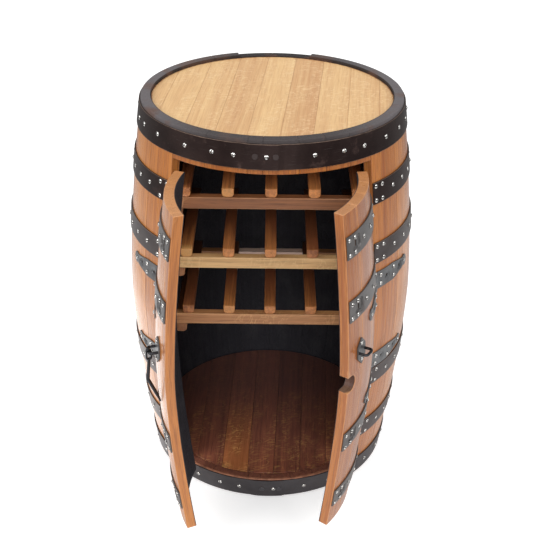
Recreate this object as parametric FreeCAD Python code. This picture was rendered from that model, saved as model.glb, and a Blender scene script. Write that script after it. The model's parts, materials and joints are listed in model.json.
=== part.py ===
import FreeCAD, Part
import math
import os

# Barrel bar cabinet: an oak cask whose front is cut into two curved doors,
# with a bottle rack behind them. Millimetres, +Z up, origin at the centre of
# the underside, front towards -Y. An azimuth is in degrees from the front,
# positive towards +X.

# ---------------------------------------------------------------- sizes
# Cask
HEIGHT = 900.0
BILGE_RADIUS = 328.0           # at half height
CHIME_RADIUS = 284.5           # at both ends
PROFILE_POWER = 1.57           # how sharply the staves turn in from the bilge
PROFILE_SPAN = 75.0            # height between the points of a stave's curve
STAVE_THICKNESS = 22.0
STAVE_JOINT = 0.3              # open joint between staves
FIXED_STAVES = 16
STAVE_WIDTHS = (1.0, 0.8, 1.15, 0.9, 1.2, 0.95, 0.88, 1.12,
                1.0, 0.8, 1.15, 0.9, 1.2, 0.95, 1.1, 0.9)  # in turn, against the mean
LOW_BACK_STAVES = 2            # staves at the back whose chime is worn lower
LOW_BACK_DROP = 4.0

# Door opening
OPENING_HALF_ANGLE = 43.2
OPENING_BOTTOM = 56.3
LINTEL_HEIGHT = 68.6
OPENING_TOP = HEIGHT - LINTEL_HEIGHT
FRONT_JOINTS = (-27.0, -9.4, -3.5, 10.7, 21.8, 32.5)  # azimuths of the joints in the front staves

# Round top and floor
TOP_RECESS = 7.4               # from the chime down to the round top
TOP_SURFACE = HEIGHT - TOP_RECESS
HEAD_THICKNESS = 22.0
HEAD_RIM_GAP = 0.4
TONGUE = 8.0
TONGUE_CLEARANCE = 0.2
GROOVE_DEPTH = 5.0
TOP_BOARD_WIDTH = 65.5
TOP_BOARD_SHIFT = 36.0         # one joint of the top, across from the centre
TOP_BOARD_TURN = 4.7           # degrees, far ends towards +X
FLOOR_BOARD_WIDTH = 62.0
FLOOR_BOARD_SHIFT = 22.0
FLOOR_BOARD_TURN = 2.0
BOARD_JOINT = 0.3

# Hoops
HOOP_THICKNESS = 3.0
HOOP_CLEARANCE = 0.25
CHIME_HOOP_WIDTH = 50.8
CHIME_HOOP_INSET = 7.0         # below the stave ends at the top
FOOT_HOOP_INSET = 3.4          # above the floor at the bottom
HOOP_WIDTH = 47.0
HOOP_OFFSETS = (309.0, 175.0, -144.0, -298.0)  # from half height
HOOP_HEIGHTS = tuple(HEIGHT / 2 + offset for offset in HOOP_OFFSETS)
HOOP_END_GAP = 0.25            # degrees from the jamb to a cut hoop
LAP_HALF_ANGLE = 6.6           # riveted lap of a chime hoop
TOP_LAP_CENTRE = -2.4
FOOT_LAP_CENTRE = 1.1
LAP_THICKNESS = 2.0
RIVET_RADIUS = 6.0
RIVET_HEIGHT = 1.1
RIVET_ANGLE = 4.0              # each side of the lap centre

# Doors
DOOR_TOP_GAP = 10.4
DOOR_FOOT_GAP = 2.7
DOOR_TOP = OPENING_TOP - DOOR_TOP_GAP
DOOR_BOTTOM = OPENING_BOTTOM + DOOR_FOOT_GAP
DOOR_EDGE_ANGLE = 0.4          # meeting edge, from the centre plane
DOOR_JAMB_ANGLE = 0.4          # gap at the jamb
STRAP_EDGE_ANGLE = 1.0         # strap end, from the centre plane
STRAP_JAMB_ANGLE = 1.1         # strap end, from the jamb
STRAP_DROPS = (7.0, 7.0, 5.0, 11.0)  # the straps sit this much under their hoops
STRAP_SLOT_ANGLE = 7.6
STRAP_SLOT_WIDTH = 5.0
STRAP_SLOT_HEIGHT = 13.0
STRAP_SLOT_ROUNDING = 2.25
RIGHT_OPEN = 52.5              # as it stands open
LEFT_OPEN = 64.5
BUNG_RADIUS = 20.5
BUNG_TAPER = 1.5
BUNG_FROM_EDGE = 8.0
BUNG_HEIGHT = HEIGHT / 2

# Hinges
HINGE_STAND_OFF = 6.57         # hinge axis, off the staves at the fuller hinge
HINGE_OFFSETS = (110.0, -98.0)  # from half height
HINGE_HEIGHTS = tuple(HEIGHT / 2 + offset for offset in HINGE_OFFSETS)
LEAF_HEIGHT = 40.0
LEAF_TIP_HEIGHT = 25.0
LEAF_THICKNESS = 2.5
LEAF_CLEARANCE = 0.2
LEAF_ANGLE = 25.4              # from the hinge axis to the tip
LEAF_START_ANGLE = 1.0
LEAF_LAP_ANGLE = 0.9           # how far the knuckle's web runs on over the leaf
LEAF_STRAIGHT_SHARE = 0.5      # of the length, before the taper
LEAF_NECK_FROM_TIP = 17.0
LEAF_NECK_HEIGHT = 19.0
LEAF_PAIRS = ((0.16, 10.0), (0.51, 10.0))  # screw pairs: share of the length, height each side
LEAF_TIP_SCREW = 0.9           # share of the length
LEAF_HOLES = (0.33, 0.72)      # shares of the length
LEAF_HOLE_RADIUS = 2.6
KNUCKLE_RADIUS = 4.6
KNUCKLE_GAP = 0.4
KNUCKLE_WEB_RISE = 0.8         # of the web over the leaf, beside the knuckle
KNUCKLE_WEB_REACH = 3.68       # of that rise, from the hinge axis
PIN_RADIUS = 2.5
PIN_CLEARANCE = 0.06           # in the door's knuckle, which turns on the pin
PIN_FIXED_CLEARANCE = 0.02
PIN_HEAD_HEIGHT = 1.6
PIN_HEAD_RADIUS = 3.9

# Screws
SCREW_RADIUS = 4.8
SCREW_RIM = 0.8
SCREW_DOME = 2.2
SCREW_SLOT = 1.1
SCREW_SLOT_DEPTH = 1.2
SCREW_SLOT_TURN = 137.5        # degrees from one screw's slot to the next
SCREW_SEAT = 0.05
SCREW_PAIR_SPREAD = 15.2       # each side of the strap's middle
SCREW_COLUMNS = (1.45, 5.3)    # degrees from a strap's end
SCREW_FIRST_SINGLE = 12.9
SCREW_SINGLE_STEP = 8.8
TOP_HOOP_SCREWS = (-92, -73.5, -65.5, -53, -36.5, -24, -15, -2, 17, 29.5, 39.5, 53, 65, 76)
FOOT_HOOP_SCREWS = (-35, -23, -13.5, 2.5, 17)
CHIME_SCREW_STEP = 12.5        # the others, round the back

# Latch
LATCH_ANGLE = 9.0
LATCH_OFFSET = 61.0            # from half height
LATCH_HEIGHT = HEIGHT / 2 + LATCH_OFFSET
PLATE_HEIGHT = 62.0
PLATE_WIDTH = 34.0
PLATE_SIDE = 26.0
PLATE_THICKNESS = 3.0
PLATE_SEAT = 0.15
PLATE_SCREW_HEIGHT = 18.5
PLATE_SCREW_TURN = 40.0        # degrees, of the slots
RING_BAR = 3.0
RING_HALF_WIDTH = 13.0
RING_REACH = 20.5              # front bar, from the wood
RING_CORNER = 6.0
HOOK_BAR = 3.0
HOOK_CLEARANCE = 0.08
HOOK_EYE_WALL = 3.4
HOOK_EYE_DROP = 13.0
HOOK_EYE_THICKNESS = 5.4
HOOK_SIDE = -3.5               # along the ring's front bar, towards the meeting edge
HOOK_KINK = (4.5, -66.0)       # outward and up, from the ring's front bar
HOOK_NECK = (-12.0, -106.0)
HOOK_TIP = (-18.8, -125.0)
HOOK_TIP_RADIUS = 0.8

# Bottle rack
RACK_DROP = 154.5              # from the chime to the top of the first rails
RAIL_TOP = HEIGHT - RACK_DROP
TIER_PITCH = 140.5
TIERS = 3
RAIL_HEIGHT = 25.5
RAIL_DEPTH = 20.0
RACK_SETBACK = 89.0            # from the inside of the bilge
RACK_DEPTH = 317.0
RAIL_FRONT = RACK_SETBACK - (BILGE_RADIUS - STAVE_THICKNESS)
BACK_RAIL_FRONT = RAIL_FRONT + RACK_DEPTH - RAIL_DEPTH
BAR_WIDTH = 25.0
BAR_HEIGHT = 20.0
BAR_SETBACK = 1.5
BAR_PITCH = 90.0
BARS_EACH_SIDE = 2
BAR_ROUNDING = 7.8
RUNNER_FROM_WALL = 121.0       # from the inside of the bilge
RUNNER_INNER = BILGE_RADIUS - STAVE_THICKNESS - RUNNER_FROM_WALL
RUNNER_HEIGHT = 22.0
RACK_CLEARANCE = 0.6

ORIGIN = FreeCAD.Vector(0, 0, 0)
UP = FreeCAD.Vector(0, 0, 1)


# ---------------------------------------------------------------- geometry helpers
def bulge(z):
    """Outer radius of the staves at height z."""
    share = abs(2 * z / HEIGHT - 1)
    return BILGE_RADIUS - (BILGE_RADIUS - CHIME_RADIUS) * share ** PROFILE_POWER


def inner(z):
    """Inner radius of the staves at height z."""
    return bulge(z) - STAVE_THICKNESS


def slope(z):
    """Change of the outer radius per millimetre of height."""
    step = 0.5
    return (bulge(z + step) - bulge(z - step)) / (2 * step)


def outward(azimuth):
    """Level unit vector that points out of the cask at an azimuth."""
    angle = math.radians(azimuth)
    return FreeCAD.Vector(math.sin(angle), -math.cos(angle), 0)


def along(azimuth):
    """Level unit vector towards growing azimuth."""
    angle = math.radians(azimuth)
    return FreeCAD.Vector(math.cos(angle), math.sin(angle), 0)


def arc_degrees(length, radius):
    """Angle that a length spans at a radius."""
    return math.degrees(length / radius)


def polygon_face(points):
    """Flat face through 3-D points."""
    return Part.Face(Part.makePolygon(points + points[:1]))


def sector(face, start, end):
    """Turns a face that stands in the X-Z plane about the cask axis."""
    turned = face.copy()
    turned.rotate(ORIGIN, UP, start - 90)
    return turned.revolve(ORIGIN, UP, end - start)


def section_point(radius, z):
    return FreeCAD.Vector(radius, 0, z)


def profile_edge(radius_at, low, high):
    """Smooth edge through the wall radius from one height to another."""
    spans = 4 + int(abs(high - low) / PROFILE_SPAN)
    heights = [low + (high - low) * i / spans for i in range(spans + 1)]
    curve = Part.BSplineCurve()
    curve.interpolate([section_point(radius_at(z), z) for z in heights])
    return curve.toShape()


def groove_heights(surface):
    """Lower and upper height of the groove for a head with this top surface."""
    middle = surface - HEAD_THICKNESS / 2
    half = TONGUE / 2 + TONGUE_CLEARANCE
    return middle - half, middle + half


def straight_edge(start, end):
    """Edge between two (radius, height) corners of a section."""
    return Part.makeLine(section_point(*start), section_point(*end))


def stave_face(low, high):
    """Section of a stave between two heights, with any head groove in its inner face."""
    edges = [profile_edge(bulge, low, high), straight_edge((bulge(high), high), (inner(high), high))]
    z = high
    for surface in (TOP_SURFACE, OPENING_BOTTOM):
        groove_low, groove_high = groove_heights(surface)
        if not low < groove_low < groove_high < high:
            continue
        deep = max(inner(groove_low), inner(groove_high)) + GROOVE_DEPTH
        corners = [(inner(groove_high), groove_high), (deep, groove_high),
                   (deep, groove_low), (inner(groove_low), groove_low)]
        edges.append(profile_edge(inner, z, groove_high))
        for start, end in zip(corners, corners[1:]):
            edges.append(straight_edge(start, end))
        z = groove_low
    edges.append(profile_edge(inner, z, low))
    edges.append(straight_edge((inner(low), low), (bulge(low), low)))
    return Part.Face(Part.Wire(Part.__sortEdges__(edges)))


def stave(low, high, start, end):
    """One stave between two azimuths, less half a joint on each side."""
    half_joint = arc_degrees(STAVE_JOINT, BILGE_RADIUS) / 2
    return sector(stave_face(low, high), start + half_joint, end - half_joint)


def stave_row(low, high, limits):
    """Staves side by side, from each azimuth in a list to the next."""
    return [stave(low, high, start, end) for start, end in zip(limits, limits[1:])]


def band(middle, width, start, end, thickness=HOOP_THICKNESS, lift=HOOP_CLEARANCE):
    """Flat hoop or strap that lies on the staves between two azimuths."""
    low = middle - width / 2
    high = middle + width / 2
    corners = [(bulge(low) + lift, low), (bulge(low) + lift + thickness, low),
               (bulge(high) + lift + thickness, high), (bulge(high) + lift, high)]
    return sector(polygon_face([section_point(*corner) for corner in corners]), start, end)


def surface_normal(azimuth, z):
    """Unit vector square to the stave surface."""
    level = outward(azimuth)
    normal = FreeCAD.Vector(level.x, level.y, -slope(z))
    return normal.normalize()


def on_surface(azimuth, z, lift):
    """Point a given distance off the stave surface."""
    return outward(azimuth) * bulge(z) + UP * z + surface_normal(azimuth, z) * lift


def stand_on(shape, azimuth, z, lift):
    """Moves a shape that stands on the X-Y plane onto the stave surface."""
    moved = shape.copy()
    turn = FreeCAD.Rotation(UP, surface_normal(azimuth, z))
    moved.Placement = FreeCAD.Placement(on_surface(azimuth, z, lift), turn)
    return moved


def frame_at(azimuth, radius, z):
    """Placement whose x runs along growing azimuth, y up and z outward."""
    turn = FreeCAD.Rotation(along(azimuth), UP, outward(azimuth), "XYZ")
    return FreeCAD.Placement(outward(azimuth) * radius + UP * z, turn)


def placed(shape, placement):
    moved = shape.copy()
    moved.Placement = placement.multiply(moved.Placement)
    return moved


def mirrored(shape):
    """The same piece on the left side."""
    return shape.mirror(ORIGIN, FreeCAD.Vector(1, 0, 0))


def rod(start, end, radius):
    return Part.makeCylinder(radius, (end - start).Length, start, end - start)


# ---------------------------------------------------------------- fasteners
def screw_head():
    """Domed screw head with a straight slot, standing on the X-Y plane."""
    total = SCREW_RIM + SCREW_DOME
    sphere_radius = (SCREW_RADIUS ** 2 + SCREW_DOME ** 2) / (2 * SCREW_DOME)
    ball = Part.makeSphere(sphere_radius, FreeCAD.Vector(0, 0, total - sphere_radius))
    head = Part.makeCylinder(SCREW_RADIUS, total).common(ball)
    slot = Part.makeBox(3 * SCREW_RADIUS, SCREW_SLOT, SCREW_DOME,
                        FreeCAD.Vector(-1.5 * SCREW_RADIUS, -SCREW_SLOT / 2,
                                       total - SCREW_SLOT_DEPTH))
    return head.cut(slot)


def screws(places, lift, seed=1):
    """A screw head at each (azimuth, height), with its slot turned at random."""
    plain = screw_head()
    heads = []
    for number, (azimuth, z) in enumerate(places):
        turned = plain.copy()
        turned.rotate(ORIGIN, UP, (SCREW_SLOT_TURN * (number + seed)) % 180)
        heads.append(stand_on(turned, azimuth, z, lift + SCREW_SEAT).Solids[0])
    return heads


def strap_screws(middle, start, direction, singles):
    """Screw places of a strap: two pairs by its end, then single screws."""
    places = []
    for column in SCREW_COLUMNS:
        for side in (1, -1):
            places.append((start + direction * column, middle + side * SCREW_PAIR_SPREAD))
    for i in range(singles):
        angle = SCREW_FIRST_SINGLE + i * SCREW_SINGLE_STEP
        places.append((start + direction * angle, middle))
    return places


# ---------------------------------------------------------------- cask
def fixed_staves():
    """Full staves, from the right jamb round the back to the left jamb."""
    mean = (360 - 2 * OPENING_HALF_ANGLE) / FIXED_STAVES
    shares = [STAVE_WIDTHS[i % len(STAVE_WIDTHS)] for i in range(FIXED_STAVES)]
    scale = FIXED_STAVES / sum(shares)
    first_low = (FIXED_STAVES - LOW_BACK_STAVES) // 2
    start = OPENING_HALF_ANGLE
    row = []
    for i, share in enumerate(shares):
        end = start + mean * share * scale
        lowered = first_low <= i < first_low + LOW_BACK_STAVES
        high = HEIGHT - LOW_BACK_DROP if lowered else HEIGHT
        row.append(stave(0, high, start, end))
        start = end
    return row


def front_limits():
    """Azimuths that bound the short staves above and below the opening."""
    return [-OPENING_HALF_ANGLE] + list(FRONT_JOINTS) + [OPENING_HALF_ANGLE]


def lintel():
    return stave_row(OPENING_TOP, HEIGHT, front_limits())


def sill():
    return stave_row(0, OPENING_BOTTOM, front_limits())


def head_boards(surface, board, shift, turn):
    """Round head cut into boards, tongued all round for the groove."""
    bottom = surface - HEAD_THICKNESS
    radius = min(inner(surface), inner(bottom)) - HEAD_RIM_GAP
    groove_low, groove_high = groove_heights(surface)
    tongue_low = groove_low + TONGUE_CLEARANCE
    tongue_radius = min(inner(groove_low), inner(groove_high)) + GROOVE_DEPTH - HEAD_RIM_GAP
    disc = Part.makeCylinder(radius, HEAD_THICKNESS, UP * bottom)
    disc = disc.fuse(Part.makeCylinder(tongue_radius, TONGUE, UP * tongue_low))
    first = math.floor((-tongue_radius - shift) / board)
    last = math.ceil((tongue_radius - shift) / board)
    boards = []
    for i in range(first, last):
        left = shift + i * board + BOARD_JOINT / 2
        strip = Part.makeBox(board - BOARD_JOINT, 4 * tongue_radius, 2 * HEAD_THICKNESS,
                             FreeCAD.Vector(left, -2 * tongue_radius, bottom - HEAD_THICKNESS / 2))
        strip.rotate(ORIGIN, UP, -turn)
        piece = disc.common(strip)
        boards += piece.Solids
    return boards


def chime_hoop(middle, lap_centre):
    """Closed hoop with the riveted lap at its front."""
    ring = band(middle, CHIME_HOOP_WIDTH, 0, 360)
    start = lap_centre - LAP_HALF_ANGLE
    end = lap_centre + LAP_HALF_ANGLE
    lap = band(middle, CHIME_HOOP_WIDTH, start, end, HOOP_THICKNESS + LAP_THICKNESS)
    return ring.fuse(lap).removeSplitter()


def top_hoop_height():
    return HEIGHT - CHIME_HOOP_INSET - CHIME_HOOP_WIDTH / 2


def foot_hoop_height():
    return FOOT_HOOP_INSET + CHIME_HOOP_WIDTH / 2


def open_hoop(middle):
    """Hoop that stops at the two jambs."""
    start = OPENING_HALF_ANGLE + HOOP_END_GAP
    return band(middle, HOOP_WIDTH, start, 360 - start)


def hoop_outside():
    """Distance from the staves to the outside of a hoop."""
    return HOOP_CLEARANCE + HOOP_THICKNESS


def chime_screws(middle, front, lap_centre):
    """Uneven screws at the front of a closed hoop, then even ones round its back."""
    back = 360 - (front[-1] - front[0])
    count = round(back / CHIME_SCREW_STEP)
    angles = list(front) + [front[-1] + back * i / count for i in range(1, count)]
    heads = []
    for number, angle in enumerate(angles):
        on_lap = abs(angle - lap_centre) < LAP_HALF_ANGLE
        lift = hoop_outside() + (LAP_THICKNESS if on_lap else 0)
        heads += screws([(angle, middle)], lift, number)
    return heads


def open_hoop_screws(middle):
    """Two pairs of screws at each end of a cut hoop and single ones between."""
    start = OPENING_HALF_ANGLE + HOOP_END_GAP
    places = strap_screws(middle, start, 1, 0) + strap_screws(middle, -start, -1, 0)
    span = 360 - 2 * (start + SCREW_FIRST_SINGLE)
    steps = round(span / SCREW_SINGLE_STEP)
    for i in range(steps + 1):
        places.append((start + SCREW_FIRST_SINGLE + span * i / steps, middle))
    return screws(places, hoop_outside())


def cabinet_screws():
    heads = chime_screws(top_hoop_height(), TOP_HOOP_SCREWS, TOP_LAP_CENTRE)
    heads += chime_screws(foot_hoop_height(), FOOT_HOOP_SCREWS, FOOT_LAP_CENTRE)
    for middle in HOOP_HEIGHTS:
        heads += open_hoop_screws(middle)
    for z in HINGE_HEIGHTS:
        right = screws(leaf_screws(z, 1), LEAF_CLEARANCE + LEAF_THICKNESS)
        heads += right + [mirrored(head) for head in right]
    return heads


def hoop_rivets():
    plain = Part.makeCylinder(RIVET_RADIUS, RIVET_HEIGHT)
    plain = plain.makeChamfer(RIVET_HEIGHT / 2, [plain.Edges[0]])
    lift = hoop_outside() + LAP_THICKNESS + SCREW_SEAT
    rivets = []
    for middle, centre in ((top_hoop_height(), TOP_LAP_CENTRE), (foot_hoop_height(), FOOT_LAP_CENTRE)):
        for side in (-RIVET_ANGLE, RIVET_ANGLE):
            rivets.append(stand_on(plain, centre + side, middle, lift))
    return rivets


# ---------------------------------------------------------------- bottle rack
def inside_of_cask():
    """Solid that fills the cask, a small clearance away from the staves, with its seam at the back."""
    low = OPENING_BOTTOM
    high = TOP_SURFACE - HEAD_THICKNESS

    def clear(z):
        return inner(z) - RACK_CLEARANCE

    edges = [profile_edge(clear, low, high),
             Part.makeLine(section_point(clear(high), high), section_point(0, high)),
             Part.makeLine(section_point(0, high), section_point(0, low)),
             Part.makeLine(section_point(0, low), section_point(clear(low), low))]
    return sector(Part.Face(Part.Wire(Part.__sortEdges__(edges))), 180, 540)


def rail(top, front, room):
    """Cross rail that runs from wall to wall."""
    reach = 2 * BILGE_RADIUS
    blank = Part.makeBox(reach, RAIL_DEPTH, RAIL_HEIGHT,
                         FreeCAD.Vector(-reach / 2, front, top - RAIL_HEIGHT))
    return blank.common(room).Solids[0]


def rounded_bar(height, left, bottom, room):
    """Bar that runs front to back, with its two lower edges rounded."""
    front = RAIL_FRONT + BAR_SETBACK
    length = BACK_RAIL_FRONT + RAIL_DEPTH - front
    lean = BAR_ROUNDING * (1 - math.sqrt(0.5))

    def at(x, z):
        return FreeCAD.Vector(left + x, front, bottom + z)

    def corner(side, turn):
        """Rounded lower corner; turn is +1 at the left and -1 at the right."""
        return Part.Arc(at(side, BAR_ROUNDING), at(side + turn * lean, lean),
                        at(side + turn * BAR_ROUNDING, 0)).toShape()

    section = Part.Wire(Part.__sortEdges__([
        Part.makeLine(at(0, height), at(0, BAR_ROUNDING)), corner(0, 1),
        Part.makeLine(at(BAR_ROUNDING, 0), at(BAR_WIDTH - BAR_ROUNDING, 0)), corner(BAR_WIDTH, -1),
        Part.makeLine(at(BAR_WIDTH, BAR_ROUNDING), at(BAR_WIDTH, height)),
        Part.makeLine(at(BAR_WIDTH, height), at(0, height))]))
    blank = Part.Face(section).extrude(FreeCAD.Vector(0, length, 0))
    return blank.common(room).Solids[0]


def rack_bars(top, room):
    places = range(-BARS_EACH_SIDE, BARS_EACH_SIDE + 1)
    return [rounded_bar(BAR_HEIGHT, i * BAR_PITCH - BAR_WIDTH / 2, top, room) for i in places]


def runners(top, room):
    """Bearers under the two ends of a tier's rails."""
    bottom = top - RAIL_HEIGHT - RUNNER_HEIGHT
    right = rounded_bar(RUNNER_HEIGHT, RUNNER_INNER, bottom, room)
    return [right, mirrored(right)]


def tier_tops():
    return [RAIL_TOP - i * TIER_PITCH for i in range(TIERS)]


# ---------------------------------------------------------------- hinges
def hinge_radius():
    """Distance of both hinge axes from the cask axis."""
    return max(bulge(z) for z in HINGE_HEIGHTS) + HINGE_STAND_OFF


def hinge_point(z):
    return outward(OPENING_HALF_ANGLE) * hinge_radius() + UP * z


def leaf_screws(z, direction):
    """Screw places of a hinge leaf: two pairs and one near the tip."""
    places = []
    for share, spread in LEAF_PAIRS:
        azimuth = OPENING_HALF_ANGLE + direction * LEAF_ANGLE * share
        places += [(azimuth, z + spread), (azimuth, z - spread)]
    places.append((OPENING_HALF_ANGLE + direction * LEAF_ANGLE * LEAF_TIP_SCREW, z))
    return places


def leaf_holes(z, direction):
    """Screw holes that stay empty."""
    return [(OPENING_HALF_ANGLE + direction * LEAF_ANGLE * share, z) for share in LEAF_HOLES]


def leaf_plate(z, direction):
    """Tapered leaf on the stave surface, right side; direction 1 is the fixed one."""
    start = OPENING_HALF_ANGLE + direction * LEAF_START_ANGLE
    end = OPENING_HALF_ANGLE + direction * LEAF_ANGLE
    plate = band(z, LEAF_HEIGHT, min(start, end), max(start, end), LEAF_THICKNESS, LEAF_CLEARANCE)
    length = math.radians(LEAF_ANGLE) * BILGE_RADIUS
    half = LEAF_HEIGHT / 2
    tip = LEAF_TIP_HEIGHT / 2
    neck = length - LEAF_NECK_FROM_TIP
    slim = LEAF_NECK_HEIGHT / 2
    straight = LEAF_STRAIGHT_SHARE * length
    wide = [(-length, -half), (straight, -half), (neck, -slim), (neck, slim),
            (straight, half), (-length, half)]
    depth = 6 * KNUCKLE_RADIUS
    outline = polygon_face([FreeCAD.Vector(x, y, -depth) for x, y in wide])
    mask = outline.extrude(FreeCAD.Vector(0, 0, 3 * depth))
    mask = mask.fuse(Part.makeCylinder(tip, 3 * depth, FreeCAD.Vector(length - tip, 0, -depth)))
    if direction < 0:
        mask = mask.mirror(ORIGIN, FreeCAD.Vector(1, 0, 0))
    middle = OPENING_HALF_ANGLE + direction * LEAF_ANGLE / 2
    shift = FreeCAD.Placement(FreeCAD.Vector(-direction * length / 2, 0, 0), FreeCAD.Rotation())
    mask = placed(mask, frame_at(middle, bulge(z), z).multiply(shift))
    plate = plate.common(mask)
    for azimuth, height in leaf_holes(z, direction):
        start_point = on_surface(azimuth, height, -LEAF_THICKNESS)
        drill = Part.makeCylinder(LEAF_HOLE_RADIUS, 4 * LEAF_THICKNESS, start_point,
                                  surface_normal(azimuth, height))
        plate = plate.cut(drill)
    return plate.Solids[0]


def knuckle(low, high, direction, bore):
    """Barrel of a leaf between two heights, with the web that joins it to the plate."""
    ring = Part.makeCylinder(KNUCKLE_RADIUS, high - low, hinge_point(low))
    depth = hinge_radius() - max(bulge(low), bulge(high)) - LEAF_CLEARANCE
    reach = math.radians(LEAF_START_ANGLE + LEAF_LAP_ANGLE) * hinge_radius()
    corners = [(0, -KNUCKLE_RADIUS), (reach, -depth), (reach, LEAF_THICKNESS - depth),
               (KNUCKLE_WEB_REACH, LEAF_THICKNESS - depth + KNUCKLE_WEB_RISE), (0, 0)]
    base = hinge_point(low)
    points = []
    for side, out in corners:
        points.append(base + along(OPENING_HALF_ANGLE) * (direction * side)
                      + outward(OPENING_HALF_ANGLE) * out)
    web = polygon_face(points).extrude(UP * (high - low))
    hole = Part.makeCylinder(bore, high - low, hinge_point(low))
    return ring.fuse(web).cut(hole)


def knuckle_heights(z):
    """Limits of the three knuckles, from the lowest up."""
    third = LEAF_HEIGHT / 3
    low = z - LEAF_HEIGHT / 2
    cuts = [low + i * third for i in range(4)]
    half = KNUCKLE_GAP / 2
    return [(cuts[0], cuts[1] - half), (cuts[1] + half, cuts[2] - half), (cuts[2] + half, cuts[3])]


def fixed_leaf(z):
    bottom, _, top = knuckle_heights(z)
    leaf = leaf_plate(z, 1)
    for low, high in (bottom, top):
        leaf = leaf.fuse(knuckle(low, high, 1, PIN_RADIUS + PIN_FIXED_CLEARANCE))
    return leaf.removeSplitter().Solids[0]


def door_leaf(z):
    _, (low, high), _ = knuckle_heights(z)
    leaf = leaf_plate(z, -1)
    leaf = leaf.fuse(knuckle(low, high, -1, PIN_RADIUS + PIN_CLEARANCE))
    return leaf.removeSplitter().Solids[0]


def hinge_pin(z):
    low = z - LEAF_HEIGHT / 2
    high = z + LEAF_HEIGHT / 2
    pin = Part.makeCylinder(PIN_RADIUS, high - low, hinge_point(low))
    for start in (low - PIN_HEAD_HEIGHT, high):
        pin = pin.fuse(Part.makeCylinder(PIN_HEAD_RADIUS, PIN_HEAD_HEIGHT, hinge_point(start)))
    return pin.removeSplitter().Solids[0]


# ---------------------------------------------------------------- doors
def door_limits():
    """Azimuths of a door's meeting edge and jamb edge."""
    return DOOR_EDGE_ANGLE, OPENING_HALF_ANGLE - DOOR_JAMB_ANGLE


def door_staves(side):
    """Staves of one door, closed and laid out on the right; side is -1 for the left door."""
    start, end = door_limits()
    joints = sorted(side * joint for joint in FRONT_JOINTS if start < side * joint < end)
    return stave_row(DOOR_BOTTOM, DOOR_TOP, [start] + joints + [end])


def bung_hole():
    """Tapered bore that breaks through the meeting edge."""
    start, _ = door_limits()
    azimuth = start + arc_degrees(BUNG_FROM_EDGE, BILGE_RADIUS)
    depth = 2 * STAVE_THICKNESS
    foot = outward(azimuth) * (bulge(BUNG_HEIGHT) - 1.5 * STAVE_THICKNESS) + UP * BUNG_HEIGHT
    return Part.makeCone(BUNG_RADIUS - BUNG_TAPER, BUNG_RADIUS, depth, foot, outward(azimuth))


def strap_heights():
    return [middle - drop for middle, drop in zip(HOOP_HEIGHTS, STRAP_DROPS)]


def strap_limits():
    return STRAP_EDGE_ANGLE, OPENING_HALF_ANGLE - STRAP_JAMB_ANGLE


def strap(middle):
    """The door's share of a hoop, with one empty slot."""
    start, end = strap_limits()
    plain = band(middle, HOOP_WIDTH, start, end)
    slot = Part.makeBox(STRAP_SLOT_WIDTH, STRAP_SLOT_HEIGHT, 6 * HOOP_THICKNESS,
                        FreeCAD.Vector(-STRAP_SLOT_WIDTH / 2, -STRAP_SLOT_HEIGHT / 2,
                                       -2 * HOOP_THICKNESS))
    uprights = [edge for edge in slot.Edges if edge.BoundBox.ZLength > HOOP_THICKNESS]
    slot = slot.makeFillet(STRAP_SLOT_ROUNDING, uprights)
    return plain.cut(placed(slot, frame_at(STRAP_SLOT_ANGLE, bulge(middle), middle))).Solids[0]


def door_screws():
    heads = []
    start, end = strap_limits()
    singles = int((end - start - SCREW_FIRST_SINGLE) / SCREW_SINGLE_STEP) + 1
    for middle in strap_heights():
        heads += screws(strap_screws(middle, start, 1, singles), hoop_outside(), 5)
    for z in HINGE_HEIGHTS:
        heads += screws(leaf_screws(z, -1), LEAF_CLEARANCE + LEAF_THICKNESS, 3)
    return heads + plate_screws()


# ---------------------------------------------------------------- latch
def latch_frame():
    """x along growing azimuth, y up, z outward, from the stave surface."""
    return frame_at(LATCH_ANGLE, bulge(LATCH_HEIGHT), LATCH_HEIGHT)


def plate_frame():
    """Like the latch frame, but leaning with the stave."""
    normal = surface_normal(LATCH_ANGLE, LATCH_HEIGHT)
    side = along(LATCH_ANGLE)
    turn = FreeCAD.Rotation(side, normal.cross(side), normal, "XYZ")
    return FreeCAD.Placement(on_surface(LATCH_ANGLE, LATCH_HEIGHT, PLATE_SEAT), turn)


def latch_plate():
    half_height = PLATE_HEIGHT / 2
    half_width = PLATE_WIDTH / 2
    half_side = PLATE_SIDE / 2
    corners = [(0, half_height), (half_width, half_side), (half_width, -half_side),
               (0, -half_height), (-half_width, -half_side), (-half_width, half_side)]
    face = polygon_face([FreeCAD.Vector(x, y, 0) for x, y in corners])
    return placed(face.extrude(UP * PLATE_THICKNESS), plate_frame())


def plate_screws():
    heads = []
    for side in (-1, 1):
        seat = FreeCAD.Vector(0, side * PLATE_SCREW_HEIGHT, PLATE_THICKNESS + SCREW_SEAT)
        shift = FreeCAD.Placement(seat, FreeCAD.Rotation(UP, PLATE_SCREW_TURN * side))
        heads.append(placed(screw_head(), plate_frame().multiply(shift)))
    return heads


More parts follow.
